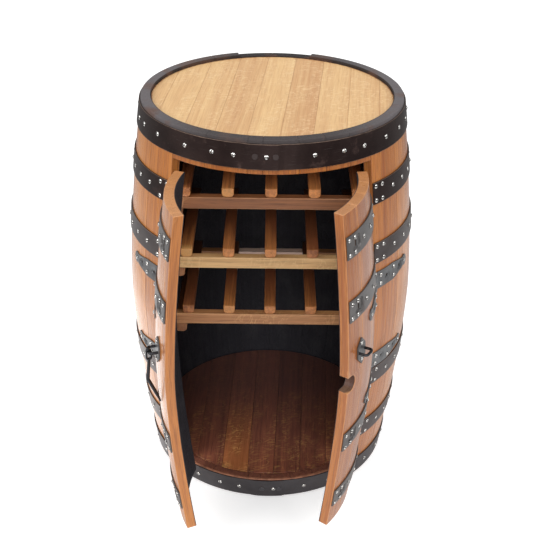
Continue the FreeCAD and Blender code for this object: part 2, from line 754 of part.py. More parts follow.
def latch_ring():
    """Level U of round bar that stands on the plate, with a straight front."""
    foot = PLATE_SEAT + PLATE_THICKNESS / 2
    turn = RING_REACH - RING_CORNER
    side = RING_HALF_WIDTH
    front = side - RING_CORNER
    lean = RING_CORNER * (1 - math.sqrt(0.5))

    def at(x, z):
        return FreeCAD.Vector(x, 0, z)

    path = Part.Wire([
        Part.makeLine(at(-side, foot), at(-side, turn)),
        Part.Arc(at(-side, turn), at(lean - side, RING_REACH - lean), at(-front, RING_REACH)).toShape(),
        Part.makeLine(at(-front, RING_REACH), at(front, RING_REACH)),
        Part.Arc(at(front, RING_REACH), at(side - lean, RING_REACH - lean), at(side, turn)).toShape(),
        Part.makeLine(at(side, turn), at(side, foot))])
    circle = Part.Wire(Part.makeCircle(RING_BAR, at(-side, foot), UP))
    ring = placed(path.makePipeShell([circle], True, False), latch_frame())
    return ring.cut(latch_plate())


def hook():
    """Forged hook: a long eye round the ring's front bar, a shank, a bent and pointed end."""
    slot = RING_BAR + HOOK_CLEARANCE
    shell = slot + HOOK_EYE_WALL
    half = HOOK_EYE_THICKNESS / 2

    def at(out, up, x=0.0):
        return FreeCAD.Vector(HOOK_SIDE + x, up, RING_REACH + out)

    across = FreeCAD.Vector(1, 0, 0)

    def long_round(radius):
        shape = Part.makeCylinder(radius, 2 * half, at(0, 0, -half), across)
        shape = shape.fuse(Part.makeCylinder(radius, 2 * half, at(0, -HOOK_EYE_DROP, -half), across))
        block = Part.makeBox(2 * half, HOOK_EYE_DROP, 2 * radius, at(-radius, -HOOK_EYE_DROP, -half))
        return shape.fuse(block)

    kink = at(*HOOK_KINK)
    neck = at(*HOOK_NECK)
    tip = at(*HOOK_TIP)
    top = at(0, -HOOK_EYE_DROP - slot - HOOK_BAR)
    body = long_round(shell)
    body = body.fuse(rod(top, kink, HOOK_BAR))
    body = body.fuse(Part.makeSphere(HOOK_BAR, kink))
    body = body.fuse(rod(kink, neck, HOOK_BAR))
    body = body.fuse(Part.makeSphere(HOOK_BAR, neck))
    body = body.fuse(Part.makeCone(HOOK_BAR, HOOK_TIP_RADIUS, (tip - neck).Length, neck, tip - neck))
    body = body.cut(long_round(slot))
    return placed(body.removeSplitter(), latch_frame()).Solids[0]


# ---------------------------------------------------------------- assembly
def opened_right(shape):
    moved = shape.copy()
    moved.rotate(hinge_point(0), UP, RIGHT_OPEN)
    return moved


def opened_left(shape):
    """Takes a piece of the right side, closed, and sets it on the open left door."""
    moved = mirrored(shape)
    left_hinge = hinge_point(0)
    left_hinge.x = -left_hinge.x
    moved.rotate(left_hinge, UP, -LEFT_OPEN)
    return moved


def export(name, shapes):
    """Writes one node; several pieces stay separate solids."""
    solids = []
    for shape in shapes:
        solids += shape.Solids
    assert all(solid.isValid() and solid.Volume > 0 for solid in solids), name
    Part.makeCompound(solids).exportStep("parts/%s.step" % name)


def build():
    os.makedirs("parts", exist_ok=True)
    for number, piece in enumerate(fixed_staves(), 1):
        export("stave_%02d" % number, [piece])
    export("lintel_stave_ends", lintel())
    export("sill_stave_ends", sill())
    export("top_boards", head_boards(TOP_SURFACE, TOP_BOARD_WIDTH, TOP_BOARD_SHIFT, TOP_BOARD_TURN))
    export("floor_boards", head_boards(OPENING_BOTTOM, FLOOR_BOARD_WIDTH, FLOOR_BOARD_SHIFT,
                                       FLOOR_BOARD_TURN))
    hoops = [chime_hoop(top_hoop_height(), TOP_LAP_CENTRE)]
    hoops += [open_hoop(middle) for middle in HOOP_HEIGHTS]
    hoops.append(chime_hoop(foot_hoop_height(), FOOT_LAP_CENTRE))
    for number, piece in enumerate(hoops, 1):
        export("hoop_%d" % number, [piece])
    export("cabinet_screws", cabinet_screws())
    export("hoop_rivets", hoop_rivets())

    room = inside_of_cask()
    back_rails = []
    all_runners = []
    for number, top in enumerate(tier_tops(), 1):
        export("rack_front_rail_%d" % number, [rail(top, RAIL_FRONT, room)])
        export("rack_bars_%d" % number, rack_bars(top, room))
        back_rails.append(rail(top, BACK_RAIL_FRONT, room))
        all_runners += runners(top, room)
    export("rack_back_rails", back_rails)
    export("rack_runners", all_runners)

    fixed = [fixed_leaf(z) for z in HINGE_HEIGHTS]
    pins = [hinge_pin(z) for z in HINGE_HEIGHTS]
    export("right_fixed_leaves", fixed)
    export("left_fixed_leaves", [mirrored(leaf) for leaf in fixed])
    export("right_hinge_pins", pins)
    export("left_hinge_pins", [mirrored(pin) for pin in pins])

    right_staves = door_staves(1)
    right_staves[0] = right_staves[0].cut(bung_hole())
    left_staves = door_staves(-1)
    straps = [strap(middle) for middle in strap_heights()]
    leaves = [door_leaf(z) for z in HINGE_HEIGHTS]
    heads = door_screws()
    for side, opened, staves in (("right", opened_right, right_staves),
                                 ("left", opened_left, left_staves)):
        for number, piece in enumerate(staves, 1):
            export("%s_door_stave_%d" % (side, number), [opened(piece)])
        export("%s_door_straps" % side, [opened(piece) for piece in straps])
        export("%s_door_leaves" % side, [opened(piece) for piece in leaves])
        export("%s_door_screws" % side, [opened(piece) for piece in heads])
        export("%s_latch_plate" % side, [opened(latch_plate())])
        export("%s_latch_ring" % side, [opened(latch_ring())])
    export("latch_hook", [opened_left(hook())])


build()
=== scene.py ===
# %% [markdown]
# # An oak cask made into a bar cabinet
#
# The cask stands on the floor with its two curved doors open. Everything here is built around
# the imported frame: the frame says where each piece is, and this file gives each piece its
# finished surface. Lengths are metres, +Z is up and the doors face -Y.

# %% Load the frame
import json
import math

import bmesh
import bpy
import numpy as np
from mathutils import Matrix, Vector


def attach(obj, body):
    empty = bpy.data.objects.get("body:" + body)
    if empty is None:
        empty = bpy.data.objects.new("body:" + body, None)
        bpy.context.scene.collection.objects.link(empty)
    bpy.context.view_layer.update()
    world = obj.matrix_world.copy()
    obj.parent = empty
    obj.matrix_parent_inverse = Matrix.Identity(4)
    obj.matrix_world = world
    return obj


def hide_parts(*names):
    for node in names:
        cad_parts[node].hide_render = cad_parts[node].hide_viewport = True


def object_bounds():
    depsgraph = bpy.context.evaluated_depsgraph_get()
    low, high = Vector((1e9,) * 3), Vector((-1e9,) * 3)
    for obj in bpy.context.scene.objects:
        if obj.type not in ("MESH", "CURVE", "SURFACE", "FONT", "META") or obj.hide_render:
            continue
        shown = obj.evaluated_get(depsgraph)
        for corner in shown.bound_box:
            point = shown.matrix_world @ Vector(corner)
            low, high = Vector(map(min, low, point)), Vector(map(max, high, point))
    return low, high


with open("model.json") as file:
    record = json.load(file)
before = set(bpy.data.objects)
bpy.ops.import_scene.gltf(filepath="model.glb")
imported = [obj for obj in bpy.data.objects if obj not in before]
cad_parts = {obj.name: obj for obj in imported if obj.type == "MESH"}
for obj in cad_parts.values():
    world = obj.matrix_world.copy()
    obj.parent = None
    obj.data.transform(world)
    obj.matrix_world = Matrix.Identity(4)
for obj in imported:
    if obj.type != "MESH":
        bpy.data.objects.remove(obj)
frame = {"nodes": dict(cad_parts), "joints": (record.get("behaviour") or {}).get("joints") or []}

bpy.context.view_layer.update()
CAD_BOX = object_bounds()
print("CAD box", [round(v, 4) for corner in CAD_BOX for v in corner])

# %% [markdown]
# ## Camera
#
# The view comes from a camera about 2.2 m in front of the cask and 1.7 m up, looking down by
# about 32 degrees. A long lens and a vertical shift keep the upright edges nearly parallel.
# The camera could also be aimed with a Track To constraint, but a plain matrix of a pitch and
# a small roll says exactly where it looks.

# %% Camera
CAMERA_PLACE = (0.0, -2.2176, 1.6701)
CAMERA_PITCH = 0.5526          # downwards, radians
CAMERA_ROLL = 0.0114
IMAGE_SIDE = 540.0             # pixels of the longer side
FOCAL_PIXELS = 1055.86
SENSOR = 36.0                  # millimetres across the longer side
AXIS_RIGHT = 0.24              # pixels from the picture's middle to the optical axis
AXIS_DOWN = 55.27


def add_object(name, data):
    """Puts data into the scene as an object at the origin."""
    thing = bpy.data.objects.new(name, data)
    bpy.context.scene.collection.objects.link(thing)
    return thing


def make_camera():
    camera = add_object("camera", bpy.data.cameras.new("camera"))
    camera.data.sensor_width = SENSOR
    camera.data.lens = FOCAL_PIXELS * SENSOR / IMAGE_SIDE
    camera.data.shift_x = -AXIS_RIGHT / IMAGE_SIDE
    camera.data.shift_y = AXIS_DOWN / IMAGE_SIDE
    turn = Matrix.Rotation(math.pi / 2 - CAMERA_PITCH, 4, "X") @ Matrix.Rotation(CAMERA_ROLL, 4, "Z")
    camera.matrix_world = Matrix.Translation(CAMERA_PLACE) @ turn
    bpy.context.scene.camera = camera
    return camera


print("camera lens", round(make_camera().data.lens, 2))

# %% [markdown]
# ## Node helpers
#
# A material is a small graph of nodes. `Graph` keeps its wiring readable: `put` adds a node
# and fills its inputs, and the short words `plus`, `times` or `ramp` add the nodes that are
# needed most. A shader node group is the same graph with its own named inputs and outputs, so
# that several materials can share one effect with different values.

# %% Node helpers


class Graph:
    """A node tree that is being built, with short ways to add and join nodes."""

    def __init__(self, tree):
        self.tree = tree

    def fill(self, node, inputs):
        """Links or sets inputs by name, with _ for a space, or by number as i0, i1 and so on."""
        for key, value in inputs.items():
            numbered = key[0] == "i" and key[1:].isdigit()
            socket = node.inputs[int(key[1:]) if numbered else key.replace("_", " ")]
            if isinstance(value, bpy.types.NodeSocket):
                self.tree.links.new(value, socket)
            else:
                socket.default_value = value

    def put(self, kind, out=0, **values):
        """Adds a node, sets what it has of its own, fills its inputs with the rest, and returns the
        wanted output."""
        node = self.tree.nodes.new("ShaderNode" + kind)
        for key in [key for key in values if hasattr(node, key)]:
            setattr(node, key, values.pop(key))
        self.fill(node, values)
        return node.outputs[out]

    def use(self, group, **inputs):
        """Places a node group and returns its outputs by name."""
        node = self.tree.nodes.new("ShaderNodeGroup")
        node.node_tree = group
        self.fill(node, inputs)
        return {socket.name: socket for socket in node.outputs}

    def math(self, operation, first, second=0.0, clamp=False):
        return self.put("Math", operation=operation, use_clamp=clamp, i0=first, i1=second)

    def plus(self, first, second, clamp=False):
        return self.math("ADD", first, second, clamp)

    def less(self, first, second, clamp=False):
        return self.math("SUBTRACT", first, second, clamp)

    def times(self, first, second):
        return self.math("MULTIPLY", first, second)

    def moved(self, vector, way):
        return self.put("VectorMath", operation="ADD", i0=vector, i1=way)

    def scaled(self, vector, factors):
        return self.put("VectorMath", operation="MULTIPLY", i0=vector, i1=factors)

    def length(self, vector):
        return self.put("VectorMath", "Value", operation="LENGTH", i0=vector)

    def axis(self, vector, letter):
        return self.put("SeparateXYZ", letter, Vector=vector)

    def noise(self, vector, scale, detail=3.0, roughness=0.5, distortion=0.0):
        """Noise; a scale of three numbers stretches it differently along each axis."""
        if isinstance(scale, tuple):
            vector, scale = self.scaled(vector, scale), 1.0
        return self.put("TexNoise", Vector=vector, Scale=scale, Detail=detail, Roughness=roughness,
                        Distortion=distortion)

    def ramp(self, value, low, high, start=0.0, end=1.0):
        """Straight change from start to end while the value goes from low to high, then held."""
        return self.put("MapRange", i0=value, i1=low, i2=high, i3=start, i4=end)

    def mix(self, share, first, second):
        """Colour between two colours."""
        return self.put("Mix", 2, data_type="RGBA", i0=share, i6=first, i7=second)

    def cover(self, under, over, mask, most):
        """Lays a colour over another where the mask says, by the share `most` where it is full."""
        return self.mix(self.times(mask, most), under, over)

    def spot(self):
        """Object coordinates: where the point is in the frame."""
        return self.put("TexCoord", "Object")

    def place(self):
        """The board's own coordinates: across, into its thickness and along its grain."""
        return self.put("Attribute", "Vector", attribute_name="lay")

    def fact(self, name):
        """A number that each point of a mesh carries."""
        return self.put("Attribute", "Fac", attribute_name=name)

    def bump(self, height, strength, distance):
        return self.put("Bump", Height=height, Strength=strength, Distance=distance)


def colour(red, green, blue):
    """A colour written in screen values from 0 to 255, as the linear colour that shaders use."""
    def linear(value):
        value /= 255.0
        return value / 12.92 if value <= 0.04045 else ((value + 0.055) / 1.055) ** 2.4

    return (linear(red), linear(green), linear(blue), 1.0)


def make_group(name, build, outputs, **numbers):
    """Node group that takes a Place and some numbers, with their usual values, and puts out masks
    and heights: build(graph, place, numbers) returns those in order."""
    tree = bpy.data.node_groups.new(name, "ShaderNodeTree")
    tree.interface.new_socket("Place", in_out="INPUT", socket_type="NodeSocketVector")
    for label, usual in numbers.items():
        socket = tree.interface.new_socket(label, in_out="INPUT", socket_type="NodeSocketFloat")
        socket.default_value = usual
    for label in outputs:
        tree.interface.new_socket(label, in_out="OUTPUT", socket_type="NodeSocketFloat")
    graph = Graph(tree)
    given = tree.nodes.new("NodeGroupInput").outputs
    results = build(graph, *[given[label] for label in ("Place", *numbers)])
    graph.fill(tree.nodes.new("NodeGroupOutput"), dict(zip(outputs, results)))
    return tree


def make_material(name, build, **plain):
    """Principled material: build(graph) returns the linked inputs, plain holds the constant ones."""
    material = bpy.data.materials.new(name + "_finish")
    material.use_nodes = True
    graph = Graph(material.node_tree)
    graph.fill(material.node_tree.nodes["Principled BSDF"], {**plain, **build(graph)})
    return material


print("white is", colour(255, 255, 255))

# %% [markdown]
# ## Effects that several finishes share
#
# Oak shows wide bands, fine streaks along the grain, short dark pores and pale curly flecks.
# The first three are noise in the board's own coordinates, squeezed hard across the grain and
# stretched along it, so the ends of a board show the cut pores by themselves. The flecks are
# the thin lines where another noise crosses one half, kept only in patches. A band along the
# edges reads `rim`, the distance to the nearest edge, which each mesh carries, broken up by
# noise; it is wear, and on the hoops and the rack also a painted highlight. Steel gets cloudy
# tone, rust spots, scratches and small dents.

# %% Oak grain group
BEND_SCALE = (6.0, 6.0, 1.6)   # how fine each noise is across, into and along the board
BAND_SCALE = (26.0, 26.0, 0.9)
STREAK_SCALE = (150.0, 150.0, 3.2)
PORE_SCALE = (560.0, 560.0, 17.0)
FLECK_SCALE = (38.0, 38.0, 88.0)
PATCH_SCALE = (22.0, 22.0, 7.0)
BEND = (0.02, 0.02, 0.02)      # metres by which the grain wanders, at most half of it either way
TREE_HEART = (0.03, 0.06, 0.0)   # the growth rings run round a line so far beside the board
RING_STRETCH = (1.0, 1.0, 0.06)
FLECK_SLANT = 0.3              # radians


def build_oak_grain(graph, place):
    wave = graph.less(graph.noise(place, BEND_SCALE, 2.0), 0.5)
    bent = graph.moved(place, graph.scaled(graph.put("CombineXYZ", X=wave), BEND))
    band = graph.ramp(graph.noise(bent, BAND_SCALE, 3.0, 0.55), 0.32, 0.68)
    pore = graph.ramp(graph.noise(bent, PORE_SCALE, 2.0), 0.52, 0.64)
    rings = graph.put("TexWave", "Fac", wave_type="RINGS", rings_direction="Z",
                      Vector=graph.scaled(graph.moved(bent, TREE_HEART), RING_STRETCH),
                      Scale=24.0, Distortion=9.0, Detail=3.0, Detail_Scale=1.6)
    fine = graph.ramp(graph.noise(bent, STREAK_SCALE, 4.0, 0.6), 0.38, 0.62)
    streak = graph.plus(graph.times(fine, 0.75), graph.times(rings, 0.25))
    slant = graph.put("VectorRotate", rotation_type="Y_AXIS", Vector=bent, Angle=FLECK_SLANT)
    curl = graph.noise(slant, FLECK_SCALE, 1.0, 0.4, 0.9)
    ridge = graph.ramp(graph.math("ABSOLUTE", graph.less(curl, 0.5)), 0.015, 0.05, 1.0, 0.0)
    patch = graph.ramp(graph.noise(bent, PATCH_SCALE, 2.0), 0.4, 0.52)
    height = graph.less(graph.times(streak, 0.45), pore)
    return band, streak, pore, graph.times(ridge, patch), height


OAK_GRAIN = make_group("oak_grain", build_oak_grain, ("Band", "Streak", "Pore", "Fleck", "Height"))

# %% Edge band group


def build_edge_band(graph, place, rim, reach):
    uneven = graph.times(reach, graph.times(graph.noise(place, 55.0), 2.0))
    share = graph.math("DIVIDE", rim, graph.math("MAXIMUM", uneven, 0.0001))
    return (graph.less(1.0, share, clamp=True),)


EDGE_BAND = make_group("edge_wear", build_edge_band, ("Mask",), Rim=0.01, Reach=0.002)


def edge_wear(graph, place, reach):
    """Mask of a ragged band along the edges of a mesh that carries `rim`: wear, and on some pieces a painted
    highlight.
    """
    return graph.use(EDGE_BAND, Place=place, Rim=graph.fact("rim"), Reach=reach)["Mask"]


# %% Steel weathering group


def build_steel(graph, place):
    cloud = graph.ramp(graph.noise(place, 9.0, 5.0, 0.62), 0.3, 0.72)
    rust = graph.ramp(graph.noise(place, 34.0, 6.0, 0.68), 0.58, 0.72)
    scratch = graph.ramp(graph.noise(place, (40.0, 40.0, 900.0), 2.0), 0.66, 0.72)
    grit = graph.noise(place, 260.0, 3.0, 0.6)
    dents = graph.noise(place, 42.0, 2.0)
    return cloud, rust, scratch, graph.plus(graph.times(grit, 0.35), dents)


STEEL_WEATHER = make_group("steel_weather", build_steel, ("Cloud", "Rust", "Scratch", "Height"))

# %% Char group


def build_char(graph, place):
    cells = graph.put("TexVoronoi", feature="DISTANCE_TO_EDGE",
                      Vector=graph.scaled(place, (1.0, 1.0, 0.45)), Scale=95.0)
    return graph.ramp(cells, 0.0, 0.12), graph.ramp(graph.noise(place, 18.0, 4.0), 0.5, 0.75)


CHAR = make_group("char", build_char, ("Crack", "Ash"))
print("groups", [tree.name for tree in bpy.data.node_groups])

# %% [markdown]
# ## Finishes
#
# The outside of the staves is oak under a warm satin varnish. Their inside is burnt black, as
# a cooper chars a cask, and the two are told apart by `inside`, which each mesh carries. The
# stave ends at the top are painted black. All of these are one material, because they meet on
# the same piece.

# %% Varnished oak
OAK_LIGHT = colour(202, 130, 62)
OAK_DARK = colour(156, 88, 38)
OAK_PORE = colour(100, 54, 24)
OAK_PALE_EDGE = colour(222, 164, 112)
CHAR_BLACK = colour(33, 31, 38)
CHAR_ASH = colour(48, 46, 50)
RIM_PAINT = colour(58, 50, 50)
RIM_SIDE_GREY = colour(98, 92, 94)
RIM_BROWN = colour(96, 66, 52)
RIM_INSIDE = colour(40, 34, 34)
PAINT_LINE = 0.8838            # the rim is painted above this height


def oak_colour(graph, light, dark, pore, grain, tone, pores=0.38):
    """Bands and streaks between two tones of oak, with darker pores; tone shifts a whole board."""
    share = graph.plus(graph.times(grain["Band"], 0.5), graph.times(grain["Streak"], 0.5))
    share = graph.plus(share, graph.less(tone, 0.5), clamp=True)
    return graph.cover(graph.mix(share, light, dark), pore, grain["Pore"], pores)


def painted_rim(graph, spot, inside):
    """Black paint of the stave ends, lighter grey towards the left and right, and patchy brown."""
    beside = graph.math("ABSOLUTE", graph.axis(spot, "X"))
    black = graph.mix(graph.ramp(beside, 0.12, 0.25), RIM_PAINT, RIM_SIDE_GREY)
    patch = graph.ramp(graph.noise(spot, 14.0, 4.0), 0.5, 0.66)
    return graph.cover(graph.mix(inside, black, RIM_INSIDE), RIM_BROWN, patch, 0.8)


def build_stave_oak(graph, edge=OAK_PORE, end=0.0):
    """The edges turn to the edge colour, and so do faces that look up or down, by the share end."""
    place, spot, inside = graph.place(), graph.spot(), graph.fact("inside")
    grain = graph.use(OAK_GRAIN, Place=place)
    burnt = graph.use(CHAR, Place=place)
    wood = oak_colour(graph, OAK_LIGHT, OAK_DARK, OAK_PORE, grain, graph.fact("tone"))
    wood = graph.cover(wood, edge, edge_wear(graph, place, 0.0016), 0.55)
    level = graph.math("ABSOLUTE", graph.axis(graph.put("NewGeometry", "Normal"), "Z"))
    wood = graph.mix(graph.ramp(level, 0.75, 0.85, 0.0, end), wood, edge)
    wood = graph.mix(inside, wood, graph.mix(burnt["Ash"], CHAR_BLACK, CHAR_ASH))
    top = graph.ramp(graph.axis(spot, "Z"), PAINT_LINE - 0.0006, PAINT_LINE)
    wood = graph.mix(top, wood, painted_rim(graph, spot, inside))
    matt = graph.math("MAXIMUM", inside, graph.times(top, 0.6))
    rough = graph.plus(graph.ramp(grain["Streak"], 0.0, 1.0, 0.26, 0.38), graph.times(matt, 0.45))
    relief = graph.plus(grain["Height"], graph.times(graph.times(burnt["Crack"], inside), 4.0))
    return {"Base_Color": wood, "Roughness": rough,
            "Coat_Weight": graph.times(graph.less(1.0, matt, clamp=True), 0.45),
            "Normal": graph.bump(relief, 0.35, 0.0012)}


def build_door_oak(graph):
    """The sawn edges and ends of the doors are pale instead of dark: worn, and partly a painted highlight."""
    return build_stave_oak(graph, OAK_PALE_EDGE, 0.45)


STAVE_OAK = make_material("varnished_oak", build_stave_oak, Coat_Roughness=0.22)
DOOR_OAK = make_material("door_oak", build_door_oak, Coat_Roughness=0.22)

# %% Oak of the round top, the floor and the rack
SILL_LIP = 0.2878              # the sill is broken pale beyond this radius
TOP_SHADE_LIP = 0.2606               # painted shade in the corner under the rim, beyond this radius
FLOOR_LIP = 0.2702             # and the floor turns dark in the corner beyond this one
BACK_SHADE = colour(44, 30, 24)    # painted shade deep in the cask, reached with a tone above 1


def pale_boards(graph, wood, tone, pale, rear_shade):
    """Boards with a tone under 0.25 turn pale. With a colour for the back, the far half turns to that
    as painted shade deep in the cask, and the pale tint and the flecks fade there. Returns the wood and how
    much of the flecks shows."""
    bright = graph.ramp(tone, 0.15, 0.25, 1.0, 0.0)
    seen = 1.0
    if rear_shade:
        back = graph.axis(graph.spot(), "Y")
        bright = graph.times(bright, graph.ramp(back, -0.2, 0.02, 1.0, 0.0))
        wood = graph.mix(graph.ramp(back, -0.22, 0.1, 0.0, 0.7), wood, rear_shade)
        seen = graph.ramp(back, -0.15, 0.08, 1.0, 0.2)
    flecks = graph.times(graph.plus(graph.times(bright, 0.75), 0.25), seen)
    return graph.cover(wood, pale, bright, 0.6), flecks


def ragged_lip(graph, wood, radius, cut):
    """Wood that turns to its cut colour beyond a radius, along a ragged line."""
    spot = graph.spot()
    reach = graph.length(graph.scaled(spot, (1.0, 1.0, 0.0)))
    ragged = graph.plus(reach, graph.times(graph.noise(spot, 130.0), 0.006))
    broken = graph.ramp(graph.noise(spot, 55.0, 2.0), 0.4, 0.55, 0.45, 0.95)
    return graph.mix(graph.times(graph.ramp(ragged, radius + 0.0024, radius + 0.0034), broken), wood, cut)


def plain_oak(name, light, dark, pore, gloss, fleck=None, fleck_share=0.0, cut=None, reach=0.0015,
              edge_share=0.6, pale=None, lit_colour=None, rear_shade=None, lip=None, pores=0.38):
    """Varnished oak that is alike on all its faces. Faces with `inside` turn to the lit colour, a painted
    patch of light. Beyond the radius `lip` the wood turns to its cut colour, on the top painted shade under
    the rim; without a lip that colour shows at the edges, as wear and on the rack also a painted highlight."""
    light, dark, pore, fleck, cut, pale, lit_colour, rear_shade = (
        tint and colour(*tint) for tint in (light, dark, pore, fleck, cut, pale, lit_colour, rear_shade))

    def build(graph):
        place, tone = graph.place(), graph.fact("tone")
        grain = graph.use(OAK_GRAIN, Place=place)
        wood = oak_colour(graph, light, dark, pore, grain, tone, pores)
        # A tone above 1 turns the wood dark brown: painted shade deep in the cask.
        wood = graph.mix(graph.ramp(tone, 1.0, 2.0, 0.0, 0.75), wood, BACK_SHADE)
        shown = fleck_share
        if pale:
            wood, flecks = pale_boards(graph, wood, tone, pale, rear_shade)
            shown = graph.times(flecks, fleck_share)
        if fleck:
            wood = graph.cover(wood, fleck, grain["Fleck"], shown)
        if lit_colour:
            wood = graph.cover(wood, lit_colour, graph.fact("inside"), 0.8)
        wood = graph.cover(wood, pore if lip else cut or pore, edge_wear(graph, place, reach), edge_share)
        if lip:
            wood = ragged_lip(graph, wood, lip, cut)
        return {"Base_Color": wood,
                "Roughness": graph.ramp(grain["Streak"], 0.0, 1.0, gloss, gloss + 0.14),
                "Normal": graph.bump(grain["Height"], 0.3, 0.001)}

    return make_material(name, build, Coat_Weight=0.15, Coat_Roughness=0.45)


# The cut colour beyond the top's lip is painted shade in the corner under the rim.
TOP_OAK = plain_oak("pale_oak", (236, 196, 140), (208, 158, 110), (160, 108, 70), 0.5, (250, 220, 172),
                    0.38, edge_share=0.35, cut=(150, 92, 50), lip=TOP_SHADE_LIP, pores=0.18)
# The far half of the floor turns darker: painted shade deep in the cask.
FLOOR_OAK = plain_oak("red_oak_floor", (184, 110, 82), (120, 70, 56), (44, 30, 30), 0.3, (255, 196, 120),
                      1.0, cut=(34, 22, 21), edge_share=0.5, pale=(236, 146, 62), rear_shade=(84, 62, 62),
                      lip=FLOOR_LIP)
SILL_OAK = plain_oak("sill_oak", (172, 108, 84), (124, 76, 60), (60, 34, 28), 0.36, cut=(190, 128, 98),
                     edge_share=0.9, lip=SILL_LIP)
# On the rack pieces, the pale cut colour along the edges is wear and also a painted highlight.
RACK_BROWN = plain_oak("rack_brown", (156, 100, 62), (98, 58, 36), (70, 38, 24), 0.4, cut=(206, 150, 104),
                       reach=0.0018)
RACK_GOLD = plain_oak("rack_gold", (238, 194, 136), (194, 146, 94), (136, 92, 54), 0.4, (240, 206, 150),
                      0.3, cut=(236, 198, 146), reach=0.0018)
RACK_TAN = plain_oak("rack_tan", (218, 158, 104), (158, 102, 64), (96, 56, 34), 0.4, (226, 174, 118),
                     0.45, cut=(220, 170, 118), reach=0.0018)
RACK_BAR = plain_oak("rack_bar", (226, 148, 84), (140, 82, 50), (90, 48, 28), 0.36, cut=(214, 148, 92),
                     pale=(206, 162, 100))
# The middle of the lowest back rail turns pale: a painted patch of light that falls in through the opening.
RACK_BACK = plain_oak("rack_back", (200, 142, 92), (146, 96, 62), (80, 46, 30), 0.4,
                      lit_colour=(244, 214, 198))

# %% [markdown]
# ## Steel and screws
#
# The hoops are cold-rolled strip gone brown-black: a metal with a dark base reflects little
# where one looks straight at it and more at a grazing angle, which makes the sides of each
# hoop grey. The edges of the hoops are lighter, partly wear and partly a painted highlight. The
# hinges and the latch are forged and blackened, so they are rougher. The screws are bright,
# with grime in patches and darker in their slots.

# %% Steel finishes
SCRATCHED = colour(140, 134, 130)
WORN_EDGE_HIGHLIGHT = colour(176, 150, 132)
RUSTED_METALLIC = 0.3


def steel(name, dark, light, rusty, roughness, relief, metallic=0.85, worn=0.0):
    """Dark steel; the last number says how bright its edges are, worn and with a painted highlight, for
    meshes that carry `rim`.
    """

    def build(graph):
        spot = graph.spot()
        weather = graph.use(STEEL_WEATHER, Place=spot)
        base = graph.mix(weather["Cloud"], colour(*dark), colour(*light))
        base = graph.cover(base, colour(*rusty), weather["Rust"], 0.6)
        base = graph.cover(base, SCRATCHED, weather["Scratch"], 0.12)
        # Lighter edges: wear and a painted highlight.
        if worn:
            base = graph.cover(base, WORN_EDGE_HIGHLIGHT, edge_wear(graph, spot, 0.0014), worn)
        rough = graph.plus(graph.ramp(weather["Cloud"], 0.0, 1.0, roughness, roughness + 0.15),
                           graph.times(weather["Rust"], 0.25))
        return {"Base_Color": base, "Roughness": rough,
                "Metallic": graph.ramp(weather["Rust"], 0.0, 1.0, metallic, RUSTED_METALLIC),
                "Normal": graph.bump(weather["Height"], relief, 0.0012)}

    return make_material(name, build)


HOOP_STEEL = steel("dark_steel", (46, 34, 33), (68, 54, 51), (66, 40, 30), 0.34, 0.25, worn=0.5)
FOOT_STEEL = steel("foot_steel", (66, 62, 64), (88, 84, 86), (72, 56, 50), 0.4, 0.25, 0.6)
GREY_STEEL = steel("grey_steel", (70, 62, 62), (104, 98, 97), (72, 52, 44), 0.36, 0.25, 0.75, 0.5)
STRAP_STEEL = steel("strap_steel", (88, 85, 85), (128, 125, 124), (78, 62, 54), 0.36, 0.4, 0.7)
HOOK_STEEL = steel("hook_steel", (44, 44, 46), (74, 74, 78), (62, 46, 38), 0.26, 0.3)
FORGED = steel("forged_steel", (84, 84, 86), (134, 135, 136), (78, 60, 50), 0.38, 0.55, 0.7)

# %% Rivets, screws and the dark bottoms of holes


def build_rivet(graph):
    """Rivets take the tone of the hoop they sit in, so the foot ones are greyer."""
    spot = graph.spot()
    cloud = graph.use(STEEL_WEATHER, Place=spot)["Cloud"]
    foot = graph.mix(cloud, colour(76, 73, 75), colour(98, 95, 98))
    top = graph.mix(cloud, colour(58, 47, 46), colour(78, 68, 66))
    return {"Base_Color": graph.mix(graph.ramp(graph.axis(spot, "Z"), 0.4, 0.5), foot, top)}


def build_hole_dark(graph):
    """A nearly black bottom for a hole, speckled with noise."""
    speckle = graph.noise(graph.spot(), 300.0, 2.0)
    return {"Base_Color": graph.mix(speckle, colour(24, 20, 19), colour(40, 33, 30))}


def build_bright(graph):
    """Polished steel with grime in patches, and darker in the slot."""
    spot = graph.spot()
    grime = graph.ramp(graph.noise(spot, 420.0), 0.5, 0.7)
    base = graph.cover(colour(226, 224, 220), colour(150, 140, 130), grime, 0.25)
    base = graph.mix(edge_wear(graph, spot, 0.0006), base, colour(60, 54, 50))
    return {"Base_Color": base, "Roughness": graph.ramp(grime, 0.0, 1.0, 0.16, 0.34)}


RIVET_STEEL = make_material("rivet_steel", build_rivet, Metallic=0.6, Roughness=0.45)
HOLE_DARK = make_material("hole_soot", build_hole_dark, Roughness=0.9)
BRIGHT = make_material("bright_screw", build_bright, Metallic=1.0)
print("finishes", sorted(material.name for material in bpy.data.materials if "finish" in material.name))

# %% [markdown]
# ## The frame's numbers
#
# Nothing is placed by eye. The cask's profile comes from its own radii: the bilge is the
# widest place at half height, the chime is the narrow end, and a power curve joins them. The
# two door hinges and how far each door stands open come from the joints. A closed door is
# part of the same round wall, so door pieces are worked out closed and then swung open.

# %% Cask profile and door hinges
SIDES = {1: "right", -1: "left"}
JOINTS = {joint["name"]: joint for joint in frame["joints"]}


def node_points(name):
    """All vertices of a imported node, one row of x, y, z each."""
    mesh = frame["nodes"][name].data
    points = np.empty(len(mesh.vertices) * 3)
    mesh.vertices.foreach_get("co", points)
    return points.reshape(-1, 3)


def reach_of(points):
    """Distance of each point from the cask's axis."""
    return np.hypot(points[:, 0], points[:, 1])


